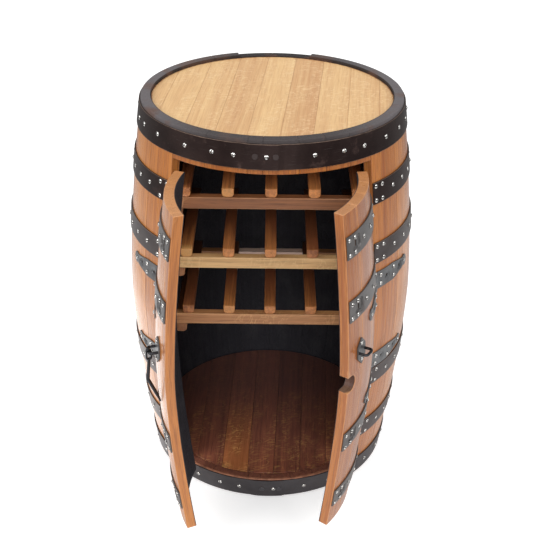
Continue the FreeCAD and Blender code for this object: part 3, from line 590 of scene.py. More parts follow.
SHELL = node_points("stave_05")
HEIGHT = SHELL[:, 2].max()
FOOT_REACH = reach_of(SHELL[SHELL[:, 2] < 0.001])
BILGE_RADIUS = CAD_BOX[1][1]   # at the back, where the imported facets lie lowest
CHIME_RADIUS = FOOT_REACH.max()
STAVE_THICKNESS = CHIME_RADIUS - FOOT_REACH.min()
PROFILE_POWER = 1.57


def bulge(z):
    """Outer radius of the staves: the bilge radius less a power of the distance from half height."""
    return BILGE_RADIUS - (BILGE_RADIUS - CHIME_RADIUS) * np.abs(2 * z / HEIGHT - 1) ** PROFILE_POWER


def hinge_of(side):
    """Hinge place in plan and the angle by which the door stands open; side is 1 right, -1 left."""
    joint = JOINTS[SIDES[side] + "_hinge"]
    return joint["pos_m"][0], joint["pos_m"][1], side * math.radians(-joint["range_deg"][0])


def turned(points, centre_x, centre_y, angle):
    """Points turned about an upright axis."""
    x = points[..., 0] - centre_x
    y = points[..., 1] - centre_y
    return np.stack([centre_x + x * math.cos(angle) - y * math.sin(angle),
                     centre_y + x * math.sin(angle) + y * math.cos(angle), points[..., 2]], -1)


def open_door(points, side):
    """Carries points of a closed door, laid out on the right, to where that door stands open."""
    return turned(points * (side, 1, 1), *hinge_of(side))


def close_door(points, side):
    """The way back: points of the open door to the closed layout on the right."""
    centre_x, centre_y, angle = hinge_of(side)
    return turned(points, centre_x, centre_y, -angle) * (side, 1, 1)


def azimuths(points):
    """Angle of each point about the cask axis, from the front, in radians."""
    return np.arctan2(points[:, 0], -points[:, 1])


def on_cask(azimuth, radius, z):
    """x, y and z of points given by azimuth, radius and height."""
    return np.stack([radius * np.sin(azimuth), -radius * np.cos(azimuth), z + 0 * azimuth], -1)


print("cask", [round(float(v), 4) for v in (HEIGHT, BILGE_RADIUS, CHIME_RADIUS, STAVE_THICKNESS)])

# %% [markdown]
# ## Boards as rounded blocks
#
# Staves, boards and rails are all boxes that were bent or trimmed. One could model a
# cube and add loop cuts and a bevel. Here the skin of a regular grid is rounded by a formula
# and then carried to its place by a function, so every board gets true rounded edges and the
# same four facts: its own coordinates `lay`, the distance to the nearest edge `rim`, `inside`,
# which marks the face that looks into the cask, and `tone`, which says how dark the board is.

# %% Rounded block
RANDOM = np.random.default_rng(17)


def grid_line(low, high, rounding, steps):
    """Places of the grid lines along one side: close together in the rounded ends, even between."""
    ends = np.array([0.0, 0.586 * rounding])
    middle = np.linspace(low + rounding, high - rounding, steps + 1)
    return np.concatenate([low + ends, middle, (high - ends)[::-1]])


def grid_quads(number):
    """Quads between the points of a grid, given the grid of their numbers."""
    return np.stack([number[:-1, :-1], number[1:, :-1], number[1:, 1:], number[:-1, 1:]], -1)


def closing_quads(sides):
    """Quads that close a ring of an even number of points, as a strip between opposite points."""
    j = np.arange(sides // 2 - 1)
    return np.stack([j, sides - 1 - j, sides - 2 - j, j + 1], -1)


def rounded_block(across, into, along, rounding):
    """Skin of a box on three grid lines. A point q goes to c + r (q - c) / |q - c|, where c is q
    brought back into the box that is smaller by the rounding r on every side."""
    lines = (across, into, along)
    grid = np.stack(np.meshgrid(*lines, indexing="ij"), -1)
    number = np.full(grid.shape[:3], -1)
    skin = np.zeros(grid.shape[:3], bool)
    for axis in range(3):
        layers = np.moveaxis(skin, axis, 0)
        layers[0] = True
        layers[-1] = True
    number[skin] = np.arange(skin.sum())
    raw = grid[skin]
    low = np.array([line[0] for line in lines])
    high = np.array([line[-1] for line in lines])
    core = np.clip(raw, low + rounding, high - rounding)
    away = raw - core
    points = core + away * (rounding / np.linalg.norm(away, axis=1))[:, None]
    gaps = np.sort(np.minimum(raw - low, high - raw), axis=1)
    faces = []
    for axis in range(3):
        layers = np.moveaxis(number, axis, 0)
        for end, outward in ((-1, True), (0, False)):
            quads = grid_quads(layers[end] if axis != 1 else layers[end].T).reshape(-1, 4)
            faces.append(quads if outward else quads[:, ::-1])
    return points, np.concatenate(faces), gaps[:, 1]


def volume_of(points, faces):
    """Six times the volume inside closed quads, by the divergence theorem; negative if they face in."""
    a, b, c, d = (points[faces[:, i]] for i in range(4))
    return (np.einsum("ij,ij->i", a, np.cross(b, c)) + np.einsum("ij,ij->i", a, np.cross(c, d))).sum()


# %% [markdown]
# ## From points to a piece
#
# Boards and sheets that belong together are gathered in a `Part` and written as one mesh:
# foreach_set copies whole arrays, which is much faster than adding vertices one by one. The
# facts become attributes on the points, where a material finds them with an Attribute node.
# Each piece is then hung under the body it moves with, and the imported node it stands for is hidden.

# %% Piece maker


def finish_piece(mesh, material, body, node):
    """Shades a mesh smoothly, gives it its finish, hangs it under its body and hides the node it stands for.
    """
    mesh.polygons.foreach_set("use_smooth", np.ones(len(mesh.polygons), bool))
    mesh.materials.append(material)
    piece = add_object(mesh.name, mesh)
    piece.modifiers.new("even_shading", "WEIGHTED_NORMAL").weight = 80
    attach(piece, body)
    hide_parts(node)
    return piece


class Part:
    """Gathers blocks and sheets that make up one piece, with the facts of their points."""

    def __init__(self):
        self.points, self.faces, self.facts = [], [], {"lay": [], "rim": [], "inside": [], "tone": []}
        self.count = 0

    def add(self, points, faces, lay, rim=0.01, inside=0.0, tone=0.5, turn=True):
        """Adds a skin; a closed one is turned round if its faces look in."""
        if turn and volume_of(points, faces) < 0:
            faces = faces[:, ::-1]
        self.points.append(points)
        self.faces.append(faces + self.count)
        self.count += len(points)
        for key, value in (("lay", lay), ("rim", rim), ("inside", inside), ("tone", tone)):
            shape = (len(points), 3) if key == "lay" else (len(points),)
            self.facts[key].append(np.broadcast_to(value, shape))

    def add_sheet(self, points, faces, closed, side):
        """Adds an open sheet that faces away from the cask, given also as it lies on the right when
        the door is closed."""
        if (volume_of(closed, faces) > 0) != (side > 0):
            faces = faces[:, ::-1]
        self.add(points, faces, closed, turn=False)

    def make(self, node, ending, material, body, slot):
        """Writes the mesh of the piece that stands for a node; its name is the node's and an ending."""
        points, faces = np.concatenate(self.points), np.concatenate(self.faces)
        mesh = bpy.data.meshes.new(node + ending)
        mesh.vertices.add(len(points))
        mesh.vertices.foreach_set("co", points.astype(np.float32).ravel())
        mesh.loops.add(faces.size)
        mesh.loops.foreach_set("vertex_index", faces.astype(np.int32).ravel())
        mesh.polygons.add(len(faces))
        mesh.polygons.foreach_set("loop_start", np.arange(0, faces.size, 4, dtype=np.int32))
        mesh.update(calc_edges=True)
        mesh.validate()
        for key, value in self.facts.items():
            kind, field = ("FLOAT_VECTOR", "vector") if key == "lay" else ("FLOAT", "value")
            layer = mesh.attributes.new(key, kind, "POINT")
            layer.data.foreach_set(field, np.concatenate(value).astype(np.float32).ravel())
        return finish_piece(mesh, material, body, node)


def pale_or_dark(spread=0.5):
    """A tone for one board, about the middle."""
    return 0.5 + spread * (RANDOM.random() - 0.5)


# %% [markdown]
# ## Staves
#
# A stave is a board bent lengthwise and hollowed across, as wide as its two joints allow. Its
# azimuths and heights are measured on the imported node. The block's first coordinate becomes
# the azimuth, the second the depth from the outer surface, the third the height. Near the
# ends of the cask the inner face has the groove that holds the round heads. A Simple Deform
# modifier could bend a board too, but only to a plain arc and not to the cask's own curve.

# %% Stave shape
STAVE_ROUNDING = 0.0012
CHAR_DEPTH = 0.0024            # the burnt skin on the inside
GROOVE_DEPTH = 0.005
GROOVE_SLANT = 0.0004
GROOVE_PLAY = 0.0002
TONGUE_EDGE = 0.002            # points so near the farthest one belong to the tongue
ROW_STEP = 0.016               # height between the rows of a stave
COLUMN_STEP = 0.009            # width between its columns
JOINT_CLOSED = math.radians(0.0264)  # each edge grows by this, so that neighbours just touch
BACK_STAVES = (8, 9)           # the two short ones, with black upper ends


def tongue_of(name):
    """Lower and upper height and radius of the tongue round a packed head."""
    points = node_points(name)
    reach = reach_of(points)
    heights = points[reach > reach.max() - TONGUE_EDGE, 2]
    return heights.min(), heights.max(), reach.max()


TONGUES = {name: tongue_of(name) for name in ("floor_boards", "top_boards")}
GROOVES = [(low - GROOVE_PLAY, high + GROOVE_PLAY) for low, high, _ in TONGUES.values()]


def groove_share(z):
    """1 inside a groove and 0 outside, with slightly slanted walls."""
    share = np.zeros_like(z)
    for low, high in GROOVES:
        rise = np.minimum(z - low, high - z) / GROOVE_SLANT
        share = np.maximum(share, np.clip(rise, 0, 1))
    return share


def stave_rows(low, high):
    """Heights of a stave's rows, with extra ones at the grooves."""
    steps = max(2, round((high - low) / ROW_STEP))
    rows = grid_line(low, high, STAVE_ROUNDING, steps)
    extra = [v for pair in GROOVES for v in (pair[0], pair[0] + GROOVE_SLANT, pair[1] - GROOVE_SLANT, pair[1])
             if low + 2 * STAVE_ROUNDING < v < high - 2 * STAVE_ROUNDING]
    return np.unique(np.concatenate([rows, extra]))


def add_stave(part, start, end, low, high, number, swing=None, notch=None, tone=None):
    """Adds one stave between two azimuths; swing carries it to an open door, and notch moves
    points aside for the bung hole."""
    start, end = start - JOINT_CLOSED, end + JOINT_CLOSED
    half = (end - start) / 2 * BILGE_RADIUS
    columns = grid_line(-half, half, STAVE_ROUNDING, max(3, round(2 * half / COLUMN_STEP)))
    depths = grid_line(0, STAVE_THICKNESS, STAVE_ROUNDING, 2)
    depths = np.sort(np.append(depths, STAVE_THICKNESS - CHAR_DEPTH))
    rows = stave_rows(low, high)
    if notch is not None:
        rows = np.unique(np.concatenate([rows, notch.rows()]))
    points, faces, rim = rounded_block(columns, depths, rows, STAVE_ROUNDING)
    across, depth, z = points.T
    inside = (depth > STAVE_THICKNESS - STAVE_ROUNDING * 1.1).astype(float)
    if number in BACK_STAVES:
        inside[z > high - 0.002] = 1.0
    radius = bulge(z) - depth + np.where(depth > STAVE_THICKNESS / 2, GROOVE_DEPTH * groove_share(z), 0)
    azimuth = (start + end) / 2 + across / BILGE_RADIUS
    if notch is not None:
        azimuth, rim = notch.clear(azimuth, start, end, depth, z, rim)
        inside = np.where((across <= -half) & notch.at(z), 0.8, inside)
    lay = points + (0.41 * number, 0.13 * number, 1.7 * number)
    placed = on_cask(azimuth, radius, z)
    if swing is not None:
        placed = open_door(placed, swing)
    part.add(placed, faces, lay, rim, inside, tone or pale_or_dark())


def limits_of(points):
    """Lowest and highest azimuth and lowest and highest height of some points."""
    angle = azimuths(points)
    if angle.max() - angle.min() > math.pi:
        angle = np.where(angle < 0, angle + 2 * math.pi, angle)
    return angle.min(), angle.max(), points[:, 2].min(), points[:, 2].max()


# %% Full staves of the cask
STAVE_TONES = {1: 0.65, 2: 0.4, 15: 0.15, 16: 0.5}   # the ones beside the opening; the rest are drawn
for number in range(1, 17):
    name = "stave_%02d" % number
    part = Part()
    add_stave(part, *limits_of(node_points(name)), number, tone=STAVE_TONES.get(number))
    part.make(name, "_oak", STAVE_OAK, "cabinet", "varnished_oak")
print("full staves made")

# %% [markdown]
# ## Short stave ends over and under the doors
#
# The doors were sawn out of the front staves, so their ends stay behind as a lintel and a
# sill. Each row is one piece made of seven blocks, with the same joints as the doors. They
# could be cut from full staves, but the same function makes them with rounded ends at once.

# %% Lintel and sill


def front_staves():
    """Azimuth limits of the stave ends, from the joints of the closed doors and the two jambs."""
    right, left = ([limits_of(close_door(node_points("%s_door_stave_%d" % (word, n)), side))
                    for n in (1, 2, 3, 4)] for side, word in SIDES.items())
    jamb = limits_of(node_points("lintel_stave_ends"))[1]
    joints = [(-left[n][0], -left[n - 1][1]) for n in (3, 2, 1)]
    joints += [(right[n][1], right[n + 1][0]) for n in (0, 1, 2)]
    edges = [-jamb] + [edge for joint in joints for edge in joint] + [jamb]
    return list(zip(edges[::2], edges[1::2]))


for name, finish in (("lintel_stave_ends", STAVE_OAK), ("sill_stave_ends", SILL_OAK)):
    part = Part()
    low, high = limits_of(node_points(name))[2:]
    for number, (start, end) in enumerate(front_staves(), 20):
        # A tone of 0.8 darkens these stave ends; on the lintel it is also painted shade under the top hoop.
        add_stave(part, start, end, low, high, number, tone=0.8)
    part.make(name, "_oak", finish, "cabinet", "varnished_oak")
print("front staves", [(round(math.degrees(a), 2), round(math.degrees(b), 2)) for a, b in front_staves()])

# %% [markdown]
# ## Door staves and the bung hole
#
# The old bung hole breaks through the meeting edge of the right door. A boolean cut would do
# it, but it leaves ragged faces on a curved board. Here the columns of that stave are simply
# squeezed aside where the hole is: the edge follows the circle
# x = c + sqrt(r^2 - (z - z0)^2), and the radius r shrinks a little with the depth.

# %% Bung notch


class BungNotch:
    """Moves the points of a stave's first edge to the far side of a tapered round hole."""

    def __init__(self, height, radius, from_edge, taper):
        self.height, self.radius, self.from_edge, self.taper = height, radius, from_edge, taper
        self.reach = math.sqrt(radius ** 2 - from_edge ** 2)

    def rows(self):
        """Heights that follow the curve: even steps of angle round the hole's open part."""
        angle = np.linspace(-math.pi / 2, math.pi / 2, 25)
        lips = self.reach + np.array([0.0, 0.0003, 0.002])
        return self.height + np.concatenate([self.reach * np.sin(angle), lips, -lips])

    def at(self, z):
        """True for heights inside the hole."""
        return np.abs(z - self.height) < self.reach

    def clear(self, azimuth, start, end, depth, z, rim):
        """New azimuths and distances to the nearest edge."""
        radius = self.radius - self.taper * depth / STAVE_THICKNESS
        rise = z - self.height
        reach = np.sqrt(np.maximum(radius ** 2 - self.from_edge ** 2, 0))
        side = self.from_edge + np.sqrt(np.maximum(radius ** 2 - rise ** 2, 0))
        cut = np.where(np.abs(rise) <= reach, side / BILGE_RADIUS, 0.0)
        share = (azimuth - start) / (end - start)
        away = np.abs(np.hypot((azimuth - start) * BILGE_RADIUS - self.from_edge, rise) - radius)
        return azimuth + cut * (1 - share), np.minimum(rim, away)


# %% Doors
BUNG = BungNotch(height=HEIGHT / 2, radius=0.0205, from_edge=0.008, taper=0.0015)
DOOR_TONES = {1: (0.8, 0.9, 0.75, 0.7), -1: (0.45, 0.35, 0.3, 0.5)}
for side, word in SIDES.items():
    for number, tone in enumerate(DOOR_TONES[side], 1):
        name = "%s_door_stave_%d" % (word, number)
        notch = BUNG if name == "right_door_stave_1" else None
        part = Part()
        add_stave(part, *limits_of(close_door(node_points(name), side)), 30 + 5 * side + number, side,
                  notch, tone)
        part.make(name, "_oak", DOOR_OAK, word + "_door", "varnished_oak")
print("door staves made")

# %% [markdown]
# ## Round top and floor
#
# Each round head is nine boards side by side, sawn to a circle and tongued all round. A
# cylinder cut into slices would lose the rounded edges of the boards, so each is a block. The
# block's first coordinate runs across the board, the second down through its thickness, and
# the third, v, along the board, scaled to the circle: y = v sqrt(R^2 - x^2). R is larger
# where the tongue is, so the tongue comes out of the same formula.

# %% Round heads
BOARD_ROUNDING = 0.0005
HEAD_JOINT = 0.00004           # half of the hair between two boards
HEAD_STEPS = 26
TONGUE_STEP = 0.0002           # half of the height in which the tongue comes out


def board_widths(width, shift, limit):
    """Left and right side of each board, measured square to the joints."""
    first = math.ceil((-limit - shift) / width)
    joints = shift + width * np.arange(first, math.floor((limit - shift) / width) + 1)
    edges = np.concatenate([[-limit], joints, [limit]])
    return list(zip(edges[:-1] + HEAD_JOINT, edges[1:] - HEAD_JOINT))


def add_head_board(part, left, right, top, bottom, turn, radius, tongue, number, tone):
    """One board of a round head; tongue gives its lower and upper height and its radius."""
    low, high, tongue_radius = tongue
    across = grid_line(left, right, BOARD_ROUNDING, max(2, round((right - left) / 0.008)))
    steps = [top - z + shift for z in (low, high) for shift in (-TONGUE_STEP, TONGUE_STEP)]
    down = np.unique(np.concatenate([grid_line(0, top - bottom, BOARD_ROUNDING, 1), steps]))
    along = grid_line(-radius, radius, BOARD_ROUNDING, HEAD_STEPS)
    points, faces, rim = rounded_block(across, down, along, BOARD_ROUNDING)
    x, z = points[:, 0], top - points[:, 1]
    in_tongue = np.clip(np.minimum(z - low, high - z) / TONGUE_STEP + 0.5, 0, 1)
    reach = radius + (tongue_radius - radius) * in_tongue
    y = points[:, 2] / radius * np.sqrt(np.maximum(reach ** 2 - x ** 2, 0.0001 ** 2))
    placed = turned(np.stack([x, y, z], -1), 0, 0, -turn)
    lay = np.stack([x + 0.37 * number, points[:, 1], y + 0.9 * number], -1)
    part.add(placed, faces, lay, rim, 0.0, tone)


def make_head(name, material, slot, turn, width, shift, tones):
    """A round head with its joints turned by some degrees; shift is how far one of them is from the
    middle."""
    points = node_points(name)
    top, bottom = points[:, 2].max(), points[:, 2].min()
    radius = reach_of(points[points[:, 2] > top - BOARD_ROUNDING]).max()
    part = Part()
    boards = board_widths(width, shift, radius - BOARD_ROUNDING)
    for number, (left, right) in enumerate(boards):
        add_head_board(part, left, right, top, bottom, math.radians(turn), radius, TONGUES[name], number,
                       tones[number])
    print(name, len(boards), "boards")
    return part.make(name, "_oak", material, "cabinet", slot)


make_head("top_boards", TOP_OAK, "pale_oak", 4.7, 0.0655, 0.036,
          (0.45, 0.3, 0.45, 0.55, 0.3, 0.8, 0.35, 0.42, 0.6))
make_head("floor_boards", FLOOR_OAK, "red_oak_floor", 2.0, 0.062, 0.022,
          (0.5, 0.4, 0.55, 0.2, 0.35, 0.7, 0.6, 0.45, 0.5))

# %% [markdown]
# ## Bottle rack
#
# Rails run across from wall to wall and bars lie on them front to back. Their ends are
# trimmed to the round wall. A boolean with the cask would do that and leave sharp, ragged
# ends; the formulas put the end of each board at sqrt(R^2 - x^2) inside the staves instead.

# %% [markdown]
# The points of a node are split into rails, bars and runners wherever they leave a wide gap.
# The gap has to be wider than a piece is high, because a solid may have points at its edges
# only. RAIL_GAP isn't: a rail is 25.5 mm high, so the two upper back rails come out as a
# strip at the top and a strip at the bottom, with nothing between. A gap of 0.03 would
# give three whole rails. This is a known fault of this file.

# %% Rails
RACK_CLEARANCE = 0.0006
RAIL_GAP = 0.02                # too narrow, see above
BAR_GAP = 0.03                 # the bars of a tier are farther apart sideways,
TIER_GAP = 0.05                # the runners of two tiers in height
RUNNER_GAP = 0.1               # and the two runners of one tier sideways
RAIL_STEPS = 30
RAIL_ROUNDING = 0.0012
LIT_PATCH_HALF = 0.078            # half of the painted patch of light on the lowest back rail
LIT_PATCH_EDGE = 0.0002


def wall(z):
    """Radius of the room inside the staves."""
    return bulge(z) - STAVE_THICKNESS - RACK_CLEARANCE


def clusters(points, axis, gap):
    """Splits points along one axis wherever no point lies for more than a gap."""
    order = np.argsort(points[:, axis])
    cuts = np.nonzero(np.diff(points[order, axis]) > gap)[0] + 1
    return [points[group] for group in np.split(order, cuts)]


def add_rail(part, points, number, tone=None, lit_half=0.0):
    """A rail as wide as the cask is at its place: x = v sqrt(R(z)^2 - y^2). The middle of the rail,
    up to the given half length on either side, is marked for a painted patch of light."""
    low, high = points.min(0), points.max(0)
    down = grid_line(low[2], high[2], RAIL_ROUNDING, 3)
    back = grid_line(low[1], high[1], RAIL_ROUNDING, 2)
    half = high[0]
    along = grid_line(-half, half, RAIL_ROUNDING, RAIL_STEPS)
    if lit_half:
        cuts = np.array([lit_half, lit_half + LIT_PATCH_EDGE])
        along = np.unique(np.concatenate([along, cuts, -cuts]))
    raw, faces, rim = rounded_block(down, back, along, RAIL_ROUNDING)
    z, y, v = raw.T
    placed = np.stack([v * np.sqrt(wall(z) ** 2 - y ** 2) / half, y, z], -1)
    # The marked middle of the rail gets a painted patch of light.
    lit_patch = (np.abs(v) < lit_half + LIT_PATCH_EDGE / 2).astype(float)
    part.add(placed, faces, raw + (0.3 * number, 0.11 * number, 1.3 * number), rim, lit_patch,
             tone or pale_or_dark(0.3))


for tier, finish in enumerate((RACK_BROWN, RACK_GOLD, RACK_TAN), 1):
    name = "rack_front_rail_%d" % tier
    part = Part()
    add_rail(part, node_points(name), 40 + tier)
    part.make(name, "_oak", finish, "cabinet", "rack_oak")
part = Part()
for number, points in enumerate(clusters(node_points("rack_back_rails"), 2, RAIL_GAP)):
    add_rail(part, points, 50 + number, 0.5, 0.0 if number else LIT_PATCH_HALF)
part.make("rack_back_rails", "_oak", RACK_BACK, "cabinet", "rack_oak")

# %% Bars and runners
BAR_CORNER = 0.0078            # rounding of the two lower edges
BAR_TOP_CORNER = 0.0015
BAR_END_ROUNDING = 0.0015
BAR_RINGS = 24


def quarter(x, y, radius, start, count):
    """Points of a quarter circle about x, y, from an angle in degrees on."""
    angle = np.radians(start + np.linspace(0, 90, count))
    return np.stack([x + radius * np.cos(angle), y + radius * np.sin(angle)], -1)


def bar_section(width, height):
    """Points round a bar's end face: two large lower roundings and two small upper ones."""
    low, high = BAR_CORNER, height - BAR_TOP_CORNER
    below, above = width / 2 - BAR_CORNER, width / 2 - BAR_TOP_CORNER
    return np.concatenate([quarter(x, z, radius, start, 6) for x, z, radius, start in (
        (below, low, BAR_CORNER, -90), (above, high, BAR_TOP_CORNER, 0),
        (-above, high, BAR_TOP_CORNER, 90), (-below, low, BAR_CORNER, 180))])


def loft_faces(rings, sides, closed=False):
    """Quads between rings of points, numbered ring by ring; a closed loft joins the last to the first."""
    ring = np.arange(rings if closed else rings - 1)[:, None] * sides
    after = (ring + sides) % (rings * sides)
    point = np.arange(sides)[None, :]
    turn = (point + 1) % sides
    return np.stack([ring + point, ring + turn, after + turn, after + point], -1).reshape(-1, 4)


def capped_loft(rings):
    """Skin through rings of shape (n, sides, 3), with an even number of sides and both ends closed."""
    count, sides, _ = rings.shape
    cap = closing_quads(sides)
    return rings.reshape(-1, 3), np.concatenate([loft_faces(count, sides), cap,
                                                 cap[:, ::-1] + (count - 1) * sides])


def bar_tip(ring, share, y):
    """The ring at a bar's end drawn in by a share of its size and brought to y, for a rounded edge."""
    centre = ring.mean(0)
    tip = centre + (ring - centre) * (1 - share)
    tip[:, 1] = y
    return tip[None]


def add_bar(part, points, number, tone):
    """A bar on its section, from the front to the back, with its ends trimmed to the wall. Its tone is
    given at the front and at the back."""
    low, high = points.min(0), points.max(0)
    width, length, height = high - low
    section = bar_section(width, height)
    middle = (low[0] + high[0]) / 2
    x, z = middle + section[:, 0], low[2] + section[:, 1]
    room = np.sqrt(wall(z) ** 2 - x ** 2)
    front, back = np.maximum(low[1], -room), np.minimum(high[1], room)
    y = front + (back - front) * np.linspace(0, 1, BAR_RINGS)[:, None]
    rings = np.stack([np.broadcast_to(x, y.shape), y, np.broadcast_to(z, y.shape)], -1)
    inset = 2 * BAR_END_ROUNDING / width
    tips = bar_tip(rings[0], inset, front), bar_tip(rings[-1], inset, back)
    rings[0, :, 1] += BAR_END_ROUNDING
    rings[-1, :, 1] -= BAR_END_ROUNDING
    skin, faces = capped_loft(np.concatenate([tips[0], rings, tips[1]]))
    lay = np.stack([skin[:, 0] - middle + 0.3 * number, skin[:, 2], skin[:, 1] + 0.7 * number], -1)
    rim = np.minimum(np.abs(skin[:, 1] - low[1] - BAR_END_ROUNDING), 0.02)
    part.add(skin, faces, lay, rim, 0.0, tone[0] + (tone[1] - tone[0]) * (skin[:, 1] - low[1]) / length)


BAR_TONES = ((0.5, 0.2, 0.4, 0.3, 0.5), (0.1, 0.35, 0.3, 0.75, 0.5), (0.7, 0.22, 0.5, 0.6, 0.5))
BACK_SHADE_TONE = 2.1              # painted shade at the back end of a bar, deep in the cask
# The tone of each bar and runner rises from the front to the back, which paints shade deep in the cask.
for tier, tones in enumerate(BAR_TONES, 1):
    name = "rack_bars_%d" % tier
    part = Part()
    for number, points in enumerate(clusters(node_points(name), 0, BAR_GAP)):
        add_bar(part, points, 10 * tier + number, (tones[number], BACK_SHADE_TONE))
    part.make(name, "_oak", RACK_BAR, "cabinet", "rack_oak")
part = Part()
for number, level in enumerate(clusters(node_points("rack_runners"), 2, TIER_GAP)):
    for half, points in enumerate(clusters(level, 0, RUNNER_GAP)):
        add_bar(part, points, 60 + 2 * number + half, (0.2, 1.6))
part.make("rack_runners", "_oak", RACK_BROWN, "cabinet", "rack_oak")
print("rack made")

# %% [markdown]
# ## Hoops
#
# A hoop is flat strip rolled to a cone, so its wall is straight between its two edges. The
# closed ones at the top and the foot overlap in a riveted lap, which rises gently on one
# side and ends in a sheared edge with clipped corners on the other. A Screw modifier would
# give a plain ring; lofting a section round the axis gives the ring and the lap in one go.

# %% Hoop section
STRIP_ROUNDING = 0.0007


def strip_section(width, thickness):
    """Rounded rectangle (height, lift) round a strip's section, from -width/2 and 0."""
    r = STRIP_ROUNDING
    edge, outer, flat = width / 2 - r, thickness - r, width / 2 - 3 * r
    return np.concatenate([quarter(edge, r, r, -90, 4), quarter(edge, outer, r, 0, 4),
                           [(flat, thickness), (-flat, thickness)],
                           quarter(-edge, outer, r, 90, 4), quarter(-edge, r, r, 180, 4),
                           [(-flat, 0.0), (flat, 0.0)]])


def section_rim(section):
    """Distance of each section point to the nearest outer corner; the flats get points of their own."""
    high, out = np.abs(section[:, 0]).max(), section[:, 1].max()
    return np.hypot(high - np.abs(section[:, 0]), out - section[:, 1])


def hoop_sizes(name):
    """Middle height, width and lift off the staves of a packed hoop, and its points."""
    points = node_points(name)
    low, high = points[:, 2].min(), points[:, 2].max()
    radius = np.round(reach_of(points[points[:, 2] < low + 1e-5]), 5).min()
    return (low + high) / 2, high - low, radius - bulge(low), points


def straight_wall(middle, half, rise):
    """Radius under flat strip: straight between the staves' radii at its edges, middle - half and
    middle + half, at a rise above its middle."""
    low, high = bulge(middle - half), bulge(middle + half)
    return low + (high - low) * (rise + half) / (2 * half)


def strip_points(section, azimuth, middle, lift, extra=0.0):
    """Section points set on the cask at each azimuth; the wall is straight from edge to edge."""
    base = straight_wall(middle, np.abs(section[:, 0]).max(), section[:, 0]) + lift
    azimuth = azimuth if np.ndim(azimuth) == 2 else azimuth[:, None]
    radius = base + section[:, 1] + extra + 0 * azimuth
    return on_cask(azimuth + 0 * radius, radius, middle + section[:, 0])


# %% Closed hoops
LAP_RISE = 0.002
LAP_SLOPE = 0.05               # radians in which the outer half rises
LAP_STEPS = 16
LAP_CLIP = 0.008               # height of the clipped corners
LAP_CLIP_REACH = 0.1           # radians along the lap in which they are drawn in
LAP_EDGE = 0.0008              # points so near the farthest one belong to the lap
RING_GAPS = (0.0012, 0.06)     # radians from the lap to the first and the last step of the ring
HOOP_THICKNESS = 0.003
RING_STEPS = 300


def lap_of(points):
    """Azimuth of the middle of the thicker lap, and half its length."""
    reach = reach_of(points) - bulge(points[:, 2])
    angle = azimuths(points[reach > reach.max() - LAP_EDGE])
    return (angle.min() + angle.max()) / 2, (angle.max() - angle.min()) / 2


def make_closed_hoop(name, finish):
    """Ring with its lap: the outer half rises before the lap and falls in one step after it."""
    middle, width, lift, points = hoop_sizes(name)
    centre, half = lap_of(points)
    section = strip_section(width, HOOP_THICKNESS)
    lap = np.linspace(centre - half - LAP_SLOPE, centre + half, LAP_STEPS)
    ring = np.linspace(centre + half + RING_GAPS[0], centre - half + 2 * math.pi - RING_GAPS[1], RING_STEPS)
    azimuth = np.concatenate([lap, ring])[:, None]
    flat = np.zeros(RING_STEPS)
    outer = section[:, 1] > HOOP_THICKNESS / 2
    rise = np.concatenate([np.clip((lap - lap[0]) / LAP_SLOPE, 0, 1), flat])
    clip = np.maximum(np.abs(section[:, 0]) - (width / 2 - LAP_CLIP), 0) / bulge(middle)
    near = np.concatenate([np.clip(1 - np.abs(lap - lap[-1]) / LAP_CLIP_REACH, 0, 1), flat])
    skin = strip_points(section, azimuth - near[:, None] * clip * outer, middle, lift,
                        rise[:, None] * LAP_RISE * outer).reshape(-1, 3)
    faces = loft_faces(len(azimuth), len(section), closed=True)
    part = Part()
    part.add(skin, faces, skin, np.tile(section_rim(section), len(azimuth)))
    return part.make(name, "_steel", finish, "cabinet", "dark_steel")


make_closed_hoop("hoop_1", HOOP_STEEL)
make_closed_hoop("hoop_6", FOOT_STEEL)

# %% Hoops that stop at the doors
END_ROUNDING = 0.0006
STRIP_STEPS = 160


def add_strip(part, start, end, middle, width, lift):
    """A strip between two azimuths, its ends closed and a little rounded."""
    section = strip_section(width, HOOP_THICKNESS)
    azimuth = np.linspace(start, end, STRIP_STEPS)
    small = section * (1 - 2 * END_ROUNDING / np.array([width, HOOP_THICKNESS])) + (0, END_ROUNDING)
    tips = strip_points(small, azimuth[[0, -1]], middle, lift)
    azimuth[0] += END_ROUNDING / bulge(middle)
    azimuth[-1] -= END_ROUNDING / bulge(middle)
    rings = strip_points(section, azimuth, middle, lift)
    skin, faces = capped_loft(np.concatenate([tips[:1], rings, tips[1:]]))
    part.add(skin, faces, skin, np.tile(section_rim(section), STRIP_STEPS + 2))


for name, finish in (("hoop_2", HOOP_STEEL), ("hoop_3", GREY_STEEL), ("hoop_4", GREY_STEEL),
                     ("hoop_5", GREY_STEEL)):
    middle, width, lift, points = hoop_sizes(name)
    start, end = limits_of(points)[:2]
    part = Part()
    add_strip(part, start, end, middle, width, lift)
    part.make(name, "_steel", finish, "cabinet", "dark_steel")
print("hoops made")

# %% [markdown]
# ## Door straps and hinge leaves
#
# These are flat blanks with holes, bent round the cask. A blank is a grid with a square patch
# left out round each hole. The patch is filled with rings of quads that run from its edge to
# the hole's outline, point for point, which keeps the sheet clean where a boolean would not.
# The sheet is then bent onto the cask, thickened with a Solidify modifier and its sharp edges
# broken with a Bevel modifier.

# %% Pierced sheet
HOLE_MARGIN = 1.7              # half of the patch round a hole, in half widths of the hole


def ring_of(rows, columns):
    """Grid positions round the edge of a patch, in turn."""
    (r0, r1), (c0, c1) = rows, columns
    return ([(r0, c) for c in range(c0, c1)] + [(r, c1) for r in range(r0, r1)]
            + [(r1, c) for c in range(c1, c0, -1)] + [(r, c0) for r in range(r1, r0, -1)])


